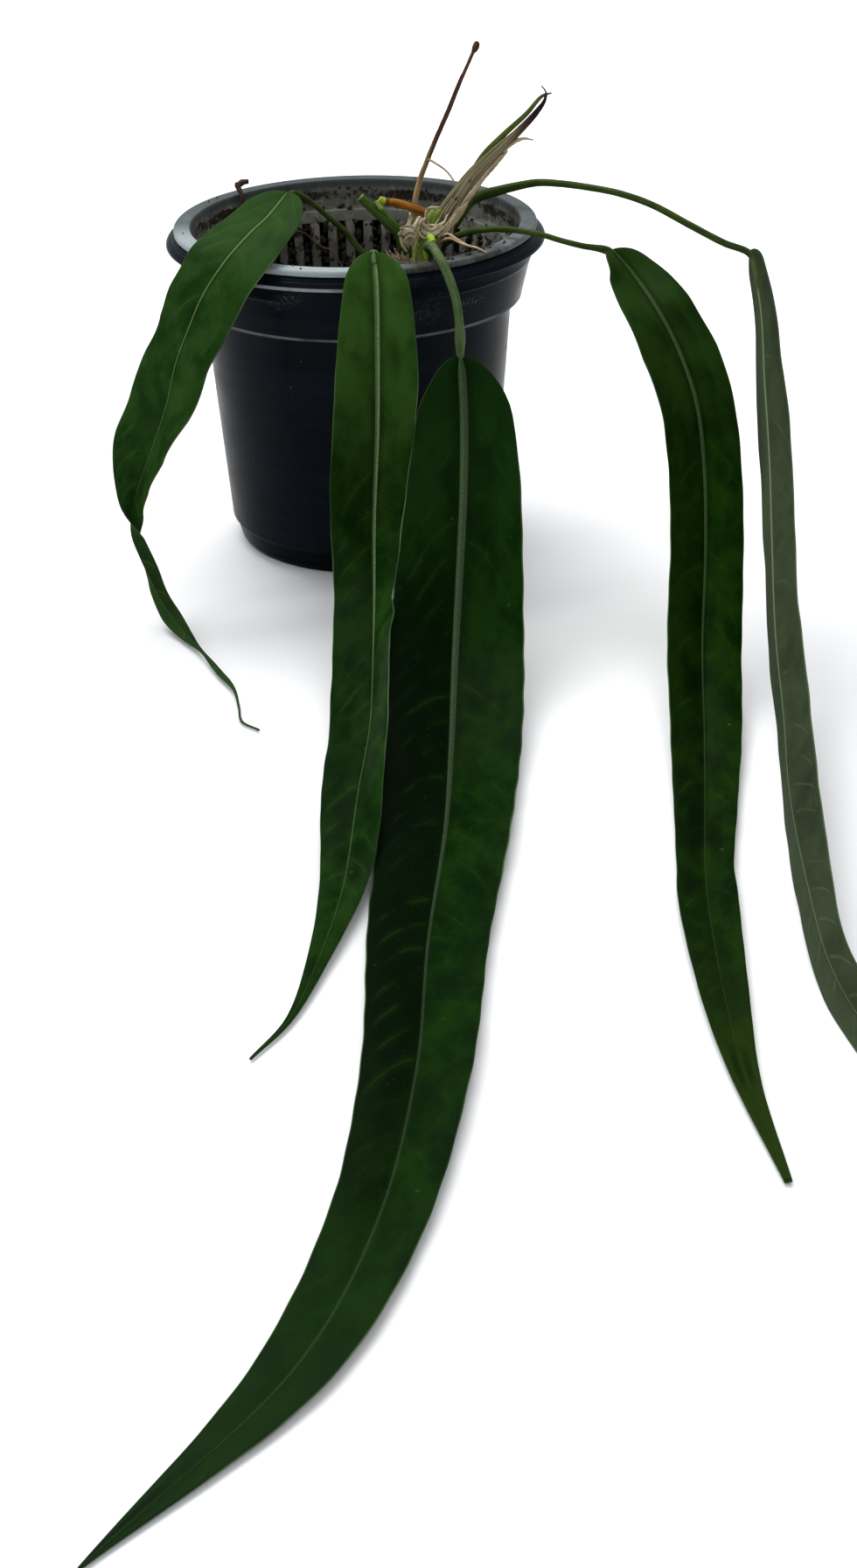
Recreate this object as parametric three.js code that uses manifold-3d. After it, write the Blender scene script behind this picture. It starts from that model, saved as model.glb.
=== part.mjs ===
// A strap-leaved anthurium in a nursery pot that has a slotted liner pot inside it.
// Millimetres, +Z up. The origin is where the pot's axis meets the surface it stands on,
// and the photographed front faces -Y. Five long leaves arch over the rim and lie on the
// surface in front of the pot.

import * as THREE from 'three';
import { mergeVertices } from 'three/addons/utils/BufferGeometryUtils.js';
import Module from 'manifold-3d';

const wasm = await Module();
wasm.setup();

// Driving dimensions of the two pots
const POT_HEIGHT = 145.5;         // top of the grey rim, with both pots nested
const RIM_RADIUS = 80;            // outer edge of the grey rim's flat top
const RIM_OPENING_RADIUS = 72.9;  // inner edge of the grey rim
const RIM_THICKNESS = 2.7;
const LIP_RADIUS = 84.1;          // lowest, widest edge of the black pot's lip
const COLLAR_TOP_RADIUS = 78.3;
const COLLAR_FOOT_RADIUS = 73.7;
const COLLAR_FOOT_Z = 112.9;      // the collar ends in a step to the body wall here
const BODY_TOP_RADIUS = 68.9;
const BODY_FOOT_RADIUS = 59.5;
const BODY_FOOT_Z = 8;
const WALL_FOOT_RADIUS = 61.2;    // the black wall ends here, above an inset foot ring
const WALL_FOOT_Z = 11.6;
const FOOT_RING_RADIUS = 59.6;    // the foot ring where it meets the wall
const BASE_RADIUS = 56.6;
const POT_WALL = 1.6;
const POT_FLOOR = 3.5;
const FIT_GAP = 0.3;              // clearance between pieces that touch
const NEST_GAP = 0.5;             // clearance between the nested, faceted walls
const LINER_WALL = 1.8;
const LINER_LEDGE_Z = 132.5;      // a ledge inside the liner, below its rim
const LINER_LEDGE_RADIUS = 67.6;
const LINER_SLOTS = 50;
const LINER_SLOT_WIDTH = 4.1;
const LINER_SLOT_TOP_Z = 127.5;
const LINER_SLOT_FOOT_Z = 24;
const POT_SEGMENTS = 56;

// Driving dimensions of the potting mix and the plant's crown
const SOIL_EDGE_Z = 105;
const MOUND_CENTRE = [26, -6];
const MOUND_HEIGHT = 17;
const MOUND_SPREAD = 24;
const SOIL_ROUGHNESS = 1.6;
const CROWN_AXIS = [31, -6];
const CROWN_FOOT_Z = 108;
const CROWN_TOP_Z = 146;
const CROWN_RADIUS = 7.4;

// Driving dimensions shared by the leaves
const BLADE_THICKNESS = 0.8;
const MIDRIB_HALF_WIDTH = 1.3;
const MIDRIB_RISE = 0.55;
const SURFACE_CLEARANCE = 0.15;   // under what lies on the surface
const HALF_BULGE = 0.13;          // rise of each half blade between midrib and margin
const NARROWEST_HALF = 0.35;
const BASE_ROUNDNESS = 0.998;     // 1 would close the blade's rounded base to a point
const LEAF_ROWS = 24;

// Each leaf has the route of its petiole, from the crown to the blade, the route of its
// midrib, and its stations. A station is the distance along the midrib, the half width,
// the bank that turns the blade about its midrib, and the fold that raises each half,
// the angles in degrees. base is the length over which the rounded blade base opens, and
// rightShare narrows the right half where it is pressed against its neighbour.
const LEAVES = {
  leaf_1: {
    petiole: [[28, -7, 126], [20, -11, 126.5], [10, -12, 129.5], [3, -11, 134], [-4, -11, 143],
      [-15, -15, 154.5], [-21, -18, 160.6], [-26, -21, 163.4], [-30, -27, 162.4]],
    petioleRadii: [2.2, 1.9, 1.6, 1.4, 1.3, 1.15, 1.05, 1, 0.8],
    midrib: [[-28, -23, 164], [-36, -39, 158], [-43, -54, 155], [-53, -72, 148], [-62, -82, 137],
      [-68, -87, 125], [-74, -90, 111], [-79, -92, 93], [-86, -93, 75], [-92.8, -94.2, 59],
      [-96.7, -95.9, 47.7], [-96.9, -98, 37.6], [-93.8, -100.4, 28.2], [-90, -103.5, 19.3],
      [-85, -109, 10.4], [-75.5, -124.5, 4], [-65.5, -145, 3.2], [-58, -162, 2.6],
      [-51, -178, 2.4], [-48, -194, 2], [-46, -206, 1.2], [-39, -213, 1]],
    stations: [[0, 11.6, 7, 11], [11, 13.8, 3, 7], [27.5, 17.5, 1, 0], [55, 18.8, 8, -2],
      [82.5, 17.4, 21, -7], [110, 18.7, 23, 3], [130, 19.2, 32, 17], [148, 17.4, 38, 30],
      [164, 10.8, 47, 41], [178, 6, 66, 48], [190, 5.8, 86, 50], [202, 4.4, 110, 40],
      [213, 3.9, 134, 26], [226, 4.2, 152, 13], [241, 2.6, 160, 9], [252, 1.2, 164, 8],
      [260, 0.7, 168, 6], [272, 1.2, 174, 6], [286, 1.3, 178, 5], [300, 0.6, 182, 4],
      [336, 0.4, 186, 2]],
    base: 16,
  },
  leaf_2: {
    petiole: [[30, -12, 126], [24, -35, 134], [16, -58, 141.8], [10.5, -73, 148.4], [9, -81, 152.6],
      [9.3, -87, 150.5]],
    petioleRadii: [2.2, 1.9, 1.8, 1.8, 1.7, 1],
    midrib: [[9, -82, 154], [10, -93, 142], [10, -100, 118], [9, -109, 83], [7, -124, 53],
      [7, -162, 35], [7, -200, 28], [6, -251, 20], [2, -290, 14], [-3, -343, 5],
      [-10, -385, 3], [-19, -421, 1.6], [-30, -441, 1]],
    stations: [[0, 10.5, 6, 12], [22, 14.7, -1, 12], [53, 17.7, -2, 12], [97, 19, -1, 13],
      [150, 16.6, -17, 16], [198, 17.9, -43, 22], [247, 18.2, -45, 21], [291, 13.5, -26, 18],
      [335, 8.8, 0, 13], [379, 4.2, 2, 10], [415, 1.4, 1, 8], [441, 0.4, 0, 8]],
    rightShare: [[0, 1], [55, 1], [72, 0.89], [90, 0.82], [108, 0.74], [120, 0.7], [136, 0.675],
      [148, 0.61], [156, 0.51], [164, 0.48], [173, 0.63], [186, 0.85], [215, 1], [441, 1]],
    base: 15,
  },
  leaf_3: {
    petiole: [[32, -12, 131], [31.5, -22, 138], [33, -45, 145.8], [34.4, -65, 149.6],
      [35.8, -78, 150.9], [37.5, -86, 149.8], [40.5, -91, 143.6], [42.8, -93, 135.7],
      [44, -94, 124.5], [44, -93.8, 114], [44.1, -94.6, 110.4]],
    petioleRadii: [2.4, 2.1, 2, 1.9, 1.9, 1.9, 1.9, 1.8, 1.8, 1.7, 1.1],
    midrib: [[44, -94, 113], [45, -106, 91], [44, -131, 67], [42, -153, 46], [39, -186, 21],
      [36, -245, 5], [33, -300, 2.2], [26, -376, 2.2], [21.5, -455, 3.5], [10, -526, 1.8],
      [-11, -585, 1.4], [-59, -651, 1]],
    stations: [[0, 16, 10, 11], [31, 21, 5, 11], [75, 25, 5, 12], [155, 28, 6, 12],
      [248, 24.7, 1, 12], [342, 20.2, 2, 11], [435, 16, 0, 9], [528, 11.7, 0, 8],
      [584, 5.2, 0, 4], [621, 0.4, 0, 3]],
    base: 26,
  },
  leaf_4: {
    petiole: [[37, -8, 134.5], [43, -14, 140.4], [49, -18, 143.7], [56, -24, 146.4],
      [64.6, -31, 148.5], [73, -38, 149.2], [81.3, -43, 148.7], [88, -45, 147],
      [97.3, -45, 144.4], [109, -44, 141.5], [115, -48.5, 137.2]],
    petioleRadii: [1.9, 1.6, 1.4, 1.3, 1.25, 1.25, 1.25, 1.25, 1.3, 1.4, 0.8],
    midrib: [[110, -44, 142], [119, -52, 133], [128, -71, 123], [136, -85, 109], [142, -101, 92],
      [144, -118, 71], [142, -149, 46], [137, -190, 22], [133, -240, 7], [128, -290, 2.4],
      [123, -338, 2], [121, -398, 2], [122, -456, 1.6], [128, -509, 1.2]],
    stations: [[0, 13.4, 5, 10], [21, 15.3, 2, 8], [52, 18, -1, 3], [94, 15.8, 1, 6],
      [146, 15.6, 12, 11], [219, 15.6, 17, 11], [292, 12.2, 4, 10], [344, 10.2, -1, 10],
      [365, 10.6, -2, 10], [427, 7.8, -3, 10], [479, 3.7, -5, 8], [521, 1.2, -6, 6]],
    base: 9,
  },
  leaf_5: {
    petiole: [[36, 1, 133.5], [43.7, 6, 141.6], [51.5, 17, 148.5], [57.5, 20, 150.4],
      [63.4, 21, 151.6], [72.3, 19, 154.1], [81, 13, 157], [90.6, 4, 158.7], [102.3, -6, 159.4],
      [116, -16, 158.8], [129.5, -24, 155.5], [144.6, -30, 148.4], [159.5, -34, 141.2],
      [170, -37, 137.4], [172, -46, 132], [172.9, -58, 123.7]],
    petioleRadii: [2.9, 2.8, 2.6, 2.4, 2.2, 1.9, 1.7, 1.6, 1.5, 1.5, 1.5, 1.5, 1.5, 1.5, 1.2,
      0.6],
    midrib: [[171, -35, 138], [173, -62, 121], [172, -92, 97], [171, -121, 76], [168, -158, 57],
      [164, -206, 36], [161, -256, 24], [157, -304, 17], [155, -359, 13.5], [156.5, -406, 7.5],
      [163, -438, 4.5], [175, -476, 3.4], [189, -510, 2.2], [203, -538, 1.2]],
    stations: [[0, 6, 108, 10], [22, 7.6, 108, 7], [52, 11.2, 110, 7], [109, 13.6, 113, 10],
      [174, 13.6, 112, 12], [239, 14.2, 110, 13], [305, 14.2, 110, 14], [348, 11.4, 115, 12],
      [392, 8.2, 124, 6], [435, 8, 142, 8], [475, 6.4, 165, 8], [510, 3.6, 175, 5],
      [545, 0.5, 180, 4]],
    base: 11,
  },
};

// Driving dimensions of the small pieces round the crown, routes from root to tip
const CUT_PETIOLE = [[26, -6, 131], [21.7, -6, 134.5], [19.9, -4.5, 139.7], [11.6, -2, 147.5],
  [2.2, 0, 155.7]];
const CUT_PETIOLE_RADII = [3.2, 3, 2.8, 2.4, 1.7];
const CUT_PETIOLE_SPUR = [[15.5, -3, 145], [12.6, -1.6, 149.6], [9.5, -0.4, 154]];
const CUT_PETIOLE_SPUR_RADII = [1.3, 1.1, 0.9];
const CUT_STUMP = [[33.5, -6.5, 141], [34.3, -5, 150.5]];
const CUT_STUMP_RADII = [3.4, 2.9];
const SIDE_SHOOT = [[33.5, 1.5, 142], [30.5, 2.4, 147.6], [24.8, -1, 150.8], [19, -3.5, 153.2],
  [12.4, -5.5, 155.6]];
const SIDE_SHOOT_RADII = [1.8, 1.7, 1.6, 1.7, 1.4];
const FLOWER_STALK = [[29.6, -0.4, 136], [27.8, 4, 143], [26.8, 6.3, 150], [29.3, 6.5, 161],
  [32.5, 6.5, 169.4], [36.1, 7, 177.8], [42.1, 7.5, 190.6], [45.7, 8, 199], [48.8, 9, 205.8],
  [53.1, 9.5, 215], [54.4, 9.5, 219]];
const FLOWER_STALK_RADII = [1.7, 1.7, 1.6, 1.3, 1.2, 1.2, 1.1, 1, 0.9, 0.8, 1.5];
const FLOWER_TENDRIL = [[32.9, 6.5, 170.2], [36, 5.6, 168.4], [40.4, 4.6, 165.6], [43.6, 3.4, 162.4]];
const SHEATH = [[38, -3, 141.5], [43.7, -1.6, 151.8], [53, 0.4, 163.8], [63.6, 2.4, 173.5],
  [71.4, 4, 180.5], [79.8, 5, 189.2], [84, 5.4, 195], [84.4, 5.6, 198.4], [82.5, 5.6, 201]];
const SHEATH_HALF_WIDTHS = [5.4, 4.9, 3.7, 2.6, 1.5, 1.1, 0.7, 0.5, 0.4];
const SHEATH_HALF_DEPTHS = [3.2, 2.6, 2, 1.5, 1.1, 0.9, 0.6, 0.4, 0.35];
const SHEATH_CURL = [[66, 3, 174.4], [70.5, 4, 177.4], [74.8, 4.4, 178.8], [79, 4.6, 178.2]];
const SHEATH_CURL_HALF_WIDTHS = [1.4, 1.2, 0.8, 0.4];
const SHREDS = [
  [[38, -5.5, 144], [36.5, -12.4, 143], [31.5, -15.8, 140.5], [26.5, -15.2, 137]],
  [[37, -5, 146], [33, -12.2, 146.8], [27.5, -12.6, 146], [22.6, -10.6, 148.5]],
  [[39, -5.5, 143], [40, -12.6, 139.5], [37.4, -15.8, 134.5], [35.6, -16.4, 131]],
  [[40.5, -3.5, 146], [44.6, -8.6, 148], [45.2, -10.6, 144], [44, -11.6, 146.5]],
];
const SHRED_HALF_WIDTHS = [1.5, 1.5, 1.3, 0.6];
const SHRED_HALF_DEPTHS = [0.5, 0.45, 0.4, 0.35];
const NEW_LEAF = [[34.5, -1.5, 138.5], [37.4, 2.4, 143], [40.6, 5.4, 147.6], [44.3, 6.4, 153],
  [50.6, 7, 161], [57.3, 7.8, 171], [65.8, 8.2, 179.3], [76.2, 8.6, 188.5], [83, 9, 195.8],
  [87.2, 9.2, 197.1]];
const NEW_LEAF_RADII = [1.4, 1.4, 1.4, 1.4, 1.3, 1.2, 1.1, 1, 0.8, 0.4];
const DRY_ROOT = [[36.4, -11.4, 132.6], [37.8, -15, 138.6], [41.5, -23.5, 142.8], [46, -35, 143.9],
  [50, -45.4, 145.2], [52.6, -52, 146.35], [56.4, -58.8, 146.25]];
const DRY_ROOT_RADII = [1, 0.9, 0.8, 0.75, 0.7, 0.65, 0.6];
const THIN_ROOT = [[-44, 40, 101], [-38, 50, 116], [-30.6, 55.6, 125.5], [-24.9, 55.8, 124.6],
  [-21.4, 55, 121.5], [-16.5, 52, 118.9], [-12.3, 48, 118.4], [-6, 42, 108], [-3, 39, 101]];
const THIN_ROOT_RADIUS = 0.6;
const RIM_TWIG = [[-52.2, 45.6, 132.85], [-52.6, 46.2, 141], [-52.9, 46.7, 145.4], [-54.4, 48.6, 149],
  [-52.6, 50, 150.8], [-49.2, 50, 151.4]];
const RIM_TWIG_RADII = [0.9, 0.9, 0.9, 1.1, 1.4, 1];
const BARK_CHUNK_PLACE = [8, 55, 108.6];
const BARK_CHUNK_SIZE = [9.5, 4.4, 4.6];
const FIBRE_ROOT = [21.5, -18.5, 121.5];
const FIBRE_TIPS = [[10, -19, 131.5], [11.5, -17.5, 134.6], [13.8, -18.5, 137.4], [16.6, -17.4, 136],
  [19, -19.4, 137.2], [23.6, -19.6, 133], [12.4, -22.6, 132]];

function points(list) {
  return list.map(([x, y, z]) => new THREE.Vector3(x, y, z));
}

function curveThrough(list) {
  const curve = new THREE.CatmullRomCurve3(points(list), false, 'centripetal');
  curve.arcLengthDivisions = 600;
  return curve;
}

// A small seeded generator, so that the rough pieces come out the same each time
function seeded(seed) {
  let state = seed;
  return () => {
    state = (Math.imul(state, 1664525) + 1013904223) >>> 0;
    return state / 4294967296;
  };
}

// Smooth interpolation through the rows of a table, by the value in column 0
function smoothColumn(rows, column, position) {
  const last = rows.length - 1;
  let i = 0;
  while (i < last - 1 && position >= rows[i + 1][0]) i += 1;
  const slope = (k) => {
    const a = rows[Math.max(k - 1, 0)];
    const b = rows[Math.min(k + 1, last)];
    return (b[column] - a[column]) / (b[0] - a[0]);
  };
  const h = rows[i + 1][0] - rows[i][0];
  const u = Math.min(Math.max((position - rows[i][0]) / h, 0), 1);
  const u2 = u * u;
  const u3 = u2 * u;
  return (2 * u3 - 3 * u2 + 1) * rows[i][column] + (u3 - 2 * u2 + u) * h * slope(i)
    + (3 * u2 - 2 * u3) * rows[i + 1][column] + (u3 - u2) * h * slope(i + 1);
}

function geometryOf(positions, indices) {
  const geometry = new THREE.BufferGeometry();
  geometry.setAttribute('position', new THREE.Float32BufferAttribute(positions, 3));
  geometry.setIndex(indices);
  return geometry;
}

function solidOf(geometry) {
  const bare = geometry.clone();
  bare.deleteAttribute('normal');
  bare.deleteAttribute('uv');
  const merged = mergeVertices(bare, 1e-4);
  return new wasm.Manifold(new wasm.Mesh({
    numProp: 3,
    vertProperties: new Float32Array(merged.attributes.position.array),
    triVerts: new Uint32Array(merged.index.array),
  }));
}

function geometryOfSolid(solid) {
  const result = solid.getMesh();
  return geometryOf(Array.from(result.vertProperties), Array.from(result.triVerts));
}

// Joins rings of equal point counts into a closed solid with flat ends
function loftRings(rings) {
  const sides = rings[0].length;
  const positions = rings.flat().flatMap((p) => [p.x, p.y, p.z]);
  const indices = [];
  for (let r = 0; r < rings.length - 1; r += 1) {
    for (let s = 0; s < sides; s += 1) {
      const a = r * sides + s;
      const b = r * sides + (s + 1) % sides;
      indices.push(a, b, a + sides, b, b + sides, a + sides);
    }
  }
  for (const [ring, first] of [[rings[0], 0], [rings[rings.length - 1], (rings.length - 1) * sides]]) {
    const centre = ring.reduce((sum, p) => sum.add(p), new THREE.Vector3()).divideScalar(sides);
    const hub = positions.length / 3;
    positions.push(centre.x, centre.y, centre.z);
    for (let s = 0; s < sides; s += 1) {
      const a = first + s;
      const b = first + (s + 1) % sides;
      if (first === 0) indices.push(hub, b, a);
      else indices.push(hub, a, b);
    }
  }
  return geometryOf(positions, indices);
}

// A stem along a route, with its radius given at each of the route's points.
// flatness gives a second radius, across the first, for an oval section.
function stem(route, radii, sides = 8, steps = route.length * 2, flatness = radii, grow = 0) {
  const curve = curveThrough(route);
  const frames = curve.computeFrenetFrames(steps, false);
  const rings = [];
  for (let i = 0; i <= steps; i += 1) {
    const centre = curve.getPointAt(i / steps);
    const along = curve.getUtoTmapping(i / steps) * (radii.length - 1);
    const k = Math.min(Math.floor(along), radii.length - 2);
    const radius = THREE.MathUtils.lerp(radii[k], radii[k + 1], along - k) + grow;
    const depth = THREE.MathUtils.lerp(flatness[k], flatness[k + 1], along - k) + grow;
    rings.push(Array.from({ length: sides }, (_, s) => {
      const angle = (s / sides) * Math.PI * 2;
      return centre.clone()
        .addScaledVector(frames.normals[i], Math.cos(angle) * radius)
        .addScaledVector(frames.binormals[i], Math.sin(angle) * depth);
    }));
  }
  return loftRings(rings);
}

function lathe(profile, segments) {
  return new THREE.LatheGeometry(profile.map(([r, z]) => new THREE.Vector2(r, z)), segments)
    .rotateX(Math.PI / 2);
}

// The body wall of the black pot, and the liner and mix that follow it inside
function bodyRadius(z) {
  const share = (z - BODY_FOOT_Z) / (COLLAR_FOOT_Z - BODY_FOOT_Z);
  return THREE.MathUtils.lerp(BODY_FOOT_RADIUS, BODY_TOP_RADIUS, share);
}

function linerRadius(z) {
  return bodyRadius(z) - POT_WALL - NEST_GAP;
}

function outerPot() {
  const stepZ = COLLAR_FOOT_Z;
  const underRim = POT_HEIGHT - RIM_THICKNESS - FIT_GAP;
  const profile = [
    [0, 0],
    [BASE_RADIUS - 1.2, 0],
    [BASE_RADIUS, 0.8],
    [BODY_FOOT_RADIUS - 1.6, 3],
    [BODY_FOOT_RADIUS - 0.4, BODY_FOOT_Z],
    [FOOT_RING_RADIUS, WALL_FOOT_Z - 1.2],
    [WALL_FOOT_RADIUS - 0.8, WALL_FOOT_Z - 0.8],
    [WALL_FOOT_RADIUS, WALL_FOOT_Z],
    [BODY_TOP_RADIUS, stepZ - 1.8],
    [COLLAR_FOOT_RADIUS - 0.5, stepZ - 0.6],
    [COLLAR_FOOT_RADIUS, stepZ],
    [COLLAR_TOP_RADIUS, POT_HEIGHT - 12.9],
    [COLLAR_TOP_RADIUS + 0.6, POT_HEIGHT - 8],
    [LIP_RADIUS - 0.3, POT_HEIGHT - 8],
    [LIP_RADIUS, POT_HEIGHT - 7.3],
    [LIP_RADIUS - 0.4, POT_HEIGHT - 6.2],
    [RIM_RADIUS + 1.6, POT_HEIGHT - 4.1],
    [RIM_RADIUS - 0.4, underRim],
    [RIM_RADIUS - 2.6, underRim],
    [COLLAR_TOP_RADIUS - POT_WALL, POT_HEIGHT - 12.9],
    [COLLAR_FOOT_RADIUS - POT_WALL, stepZ + 0.9],
    [BODY_TOP_RADIUS - POT_WALL, stepZ - 0.6],
    [BODY_FOOT_RADIUS - POT_WALL, BODY_FOOT_Z],
    [BASE_RADIUS - POT_WALL, POT_FLOOR],
    [0, POT_FLOOR],
  ];
  return solidOf(lathe(profile, POT_SEGMENTS));
}

function linerPot() {
  const top = POT_HEIGHT;
  const innerFoot = linerRadius(LINER_SLOT_FOOT_Z);
  const shoulderZ = LINER_LEDGE_Z - 4.6;
  const profile = [
    [0, POT_FLOOR + FIT_GAP],
    [innerFoot - 5, POT_FLOOR + FIT_GAP],
    [linerRadius(BODY_FOOT_Z) - 0.4, BODY_FOOT_Z + 3],
    [linerRadius(shoulderZ), shoulderZ],
    [linerRadius(shoulderZ) + 0.4, LINER_LEDGE_Z - 2],
    [RIM_OPENING_RADIUS + 1.2, LINER_LEDGE_Z - 1.4],
    [RIM_OPENING_RADIUS + 1.8, top - RIM_THICKNESS],
    [RIM_RADIUS + 0.3, top - RIM_THICKNESS],
    [RIM_RADIUS + 0.4, top - 0.8],
    [RIM_RADIUS - 0.2, top],
    [RIM_OPENING_RADIUS + 0.3, top],
    [RIM_OPENING_RADIUS, top - 0.8],
    [RIM_OPENING_RADIUS - 0.8, LINER_LEDGE_Z],
    [LINER_LEDGE_RADIUS, LINER_LEDGE_Z],
    [linerRadius(shoulderZ) - LINER_WALL, shoulderZ],
    [linerRadius(BODY_FOOT_Z) - LINER_WALL, BODY_FOOT_Z + 3],
    [innerFoot - 5 - LINER_WALL, POT_FLOOR + FIT_GAP + LINER_WALL],
    [0, POT_FLOOR + FIT_GAP + LINER_WALL],
  ];
  let liner = solidOf(lathe(profile, LINER_SLOTS));
  const height = LINER_SLOT_TOP_Z - LINER_SLOT_FOOT_Z;
  for (let i = 0; i < LINER_SLOTS; i += 1) {
    const slot = new THREE.BoxGeometry(24, LINER_SLOT_WIDTH, height);
    slot.translate(62, 0, LINER_SLOT_FOOT_Z + height / 2);
    slot.rotateZ(((i + 0.5) / LINER_SLOTS) * Math.PI * 2);
    liner = liner.subtract(solidOf(slot));
  }
  return liner;
}

// Height of the mix: level near the wall, and mounded round the crown
function soilHeight(x, y) {
  const distance = Math.hypot(x - MOUND_CENTRE[0], y - MOUND_CENTRE[1]);
  return SOIL_EDGE_Z + MOUND_HEIGHT * Math.exp(-0.5 * (distance / MOUND_SPREAD) ** 2);
}

function pottingMix() {
  const random = seeded(7);
  const around = 32;
  const rings = [];
  const ring = (radius, height) => Array.from({ length: around }, (_, i) => {
    const angle = (i / around) * Math.PI * 2;
    const x = Math.cos(angle) * radius;
    const y = Math.sin(angle) * radius;
    return new THREE.Vector3(x, y, height(x, y));
  });
  const inner = (z) => linerRadius(z) - LINER_WALL - FIT_GAP - 0.6;
  rings.push(ring(inner(BODY_FOOT_Z) - 6, () => POT_FLOOR + LINER_WALL + FIT_GAP * 2 + 0.4));
  rings.push(ring(inner(BODY_FOOT_Z) - 0.6, () => BODY_FOOT_Z + 4));
  const wallRadius = inner(SOIL_EDGE_Z - 3);
  for (const share of [1, 0.93, 0.84, 0.74, 0.63, 0.52, 0.41, 0.3, 0.19, 0.09]) {
    const rough = (x, y) => soilHeight(x, y) + (random() - 0.5) * 2 * SOIL_ROUGHNESS;
    rings.push(ring(wallRadius * share, rough));
  }
  let mix = solidOf(loftRings(rings));
  for (const standing of [crownStem, thinRoot, barkChunk, fibreTuft]) {
    mix = mix.subtract(standing(FIT_GAP));
  }
  for (const leaf of [LEAVES.leaf_1, LEAVES.leaf_2]) {
    mix = mix.subtract(petioleSolid(leaf, FIT_GAP));
  }
  return mix;
}

// One blade: rows across the midrib at rising distances, split alike on both faces
function leafBlade(leaf) {
  const curve = curveThrough(leaf.midrib);
  const length = curve.getLength();
  const distances = [0, 0.06, 0.2, 0.42, 0.7].map((share) => share * leaf.base);
  for (let i = 0; i < LEAF_ROWS; i += 1) {
    distances.push(THREE.MathUtils.lerp(leaf.base, length, (i / (LEAF_ROWS - 1)) ** 0.96));
  }
  const up = new THREE.Vector3(0, 0, 1);
  const lower = [];
  const upper = [];
  for (const distance of distances) {
    const share = distance / length;
    const centre = curve.getPointAt(share);
    const tangent = curve.getTangentAt(share);
    const side = new THREE.Vector3().crossVectors(tangent, up).normalize();
    const normal = new THREE.Vector3().crossVectors(side, tangent);
    const opening = Math.max(1 - distance / leaf.base, 0);
    const along = distance * (leaf.stations[leaf.stations.length - 1][0] / length);
    const half = Math.max(smoothColumn(leaf.stations, 1, along), NARROWEST_HALF)
      * Math.sqrt(1 - BASE_ROUNDNESS * opening * opening);
    const bank = THREE.MathUtils.degToRad(smoothColumn(leaf.stations, 2, along));
    const fold = THREE.MathUtils.degToRad(smoothColumn(leaf.stations, 3, along));
    const turnedSide = side.clone().multiplyScalar(Math.cos(bank)).addScaledVector(normal, Math.sin(bank));
    const turnedNormal = normal.clone().multiplyScalar(Math.cos(bank))
      .addScaledVector(side, -Math.sin(bank));
    const ribHalf = Math.min(MIDRIB_HALF_WIDTH, half * 0.25);
    const ribRise = MIDRIB_RISE * Math.min(half / 6, 1);
    const low = [];
    const high = [];
    const ribPlace = ribHalf / half;
    const places = [-1, -0.68, -0.36, -ribPlace, 0, ribPlace, 0.36, 0.68, 1];
    const rightShare = leaf.rightShare ? smoothColumn(leaf.rightShare, 1, along) : 1;
    for (const place of places) {
      const reach = Math.abs(place);
      const width = half * (place > ribPlace ? rightShare : 1);
      const rise = width * (Math.sin(fold) * reach + HALF_BULGE * reach * (1 - reach));
      const middle = centre.clone()
        .addScaledVector(turnedSide, -place * width * Math.cos(fold))
        .addScaledVector(turnedNormal, rise);
      const thick = BLADE_THICKNESS / 2;
      const rib = place === 0 ? ribRise : 0;
      const below = middle.clone().addScaledVector(turnedNormal, -thick - rib);
      const above = middle.clone().addScaledVector(turnedNormal, thick + rib * 0.6);
      const lift = Math.max(SURFACE_CLEARANCE - Math.min(below.z, above.z), 0);
      below.z += lift;
      above.z += lift;
      low.push(below);
      high.push(above);
    }
    lower.push(low);
    upper.push(high);
  }
  const columns = lower[0].length;
  const rows = distances.length;
  const positions = [...lower.flat(), ...upper.flat()].flatMap((p) => [p.x, p.y, p.z]);
  const indices = [];
  const at = (face, row, column) => face * rows * columns + row * columns + column;
  for (let r = 0; r < rows - 1; r += 1) {
    for (let c = 0; c < columns - 1; c += 1) {
      indices.push(at(0, r, c), at(0, r, c + 1), at(0, r + 1, c));
      indices.push(at(0, r, c + 1), at(0, r + 1, c + 1), at(0, r + 1, c));
      indices.push(at(1, r, c), at(1, r + 1, c), at(1, r, c + 1));
      indices.push(at(1, r, c + 1), at(1, r + 1, c), at(1, r + 1, c + 1));
    }
    indices.push(at(0, r, 0), at(0, r + 1, 0), at(1, r, 0));
    indices.push(at(1, r, 0), at(0, r + 1, 0), at(1, r + 1, 0));
    indices.push(at(0, r, columns - 1), at(1, r, columns - 1), at(0, r + 1, columns - 1));
    indices.push(at(1, r, columns - 1), at(1, r + 1, columns - 1), at(0, r + 1, columns - 1));
  }
  for (let c = 0; c < columns - 1; c += 1) {
    indices.push(at(0, 0, c), at(1, 0, c), at(0, 0, c + 1));
    indices.push(at(1, 0, c), at(1, 0, c + 1), at(0, 0, c + 1));
    indices.push(at(0, rows - 1, c), at(0, rows - 1, c + 1), at(1, rows - 1, c));
    indices.push(at(1, rows - 1, c), at(0, rows - 1, c + 1), at(1, rows - 1, c + 1));
  }
  return geometryOf(positions, indices);
}

function leafOf(leaf) {
  return solidOf(leafBlade(leaf)).add(petioleSolid(leaf));
}

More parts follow.
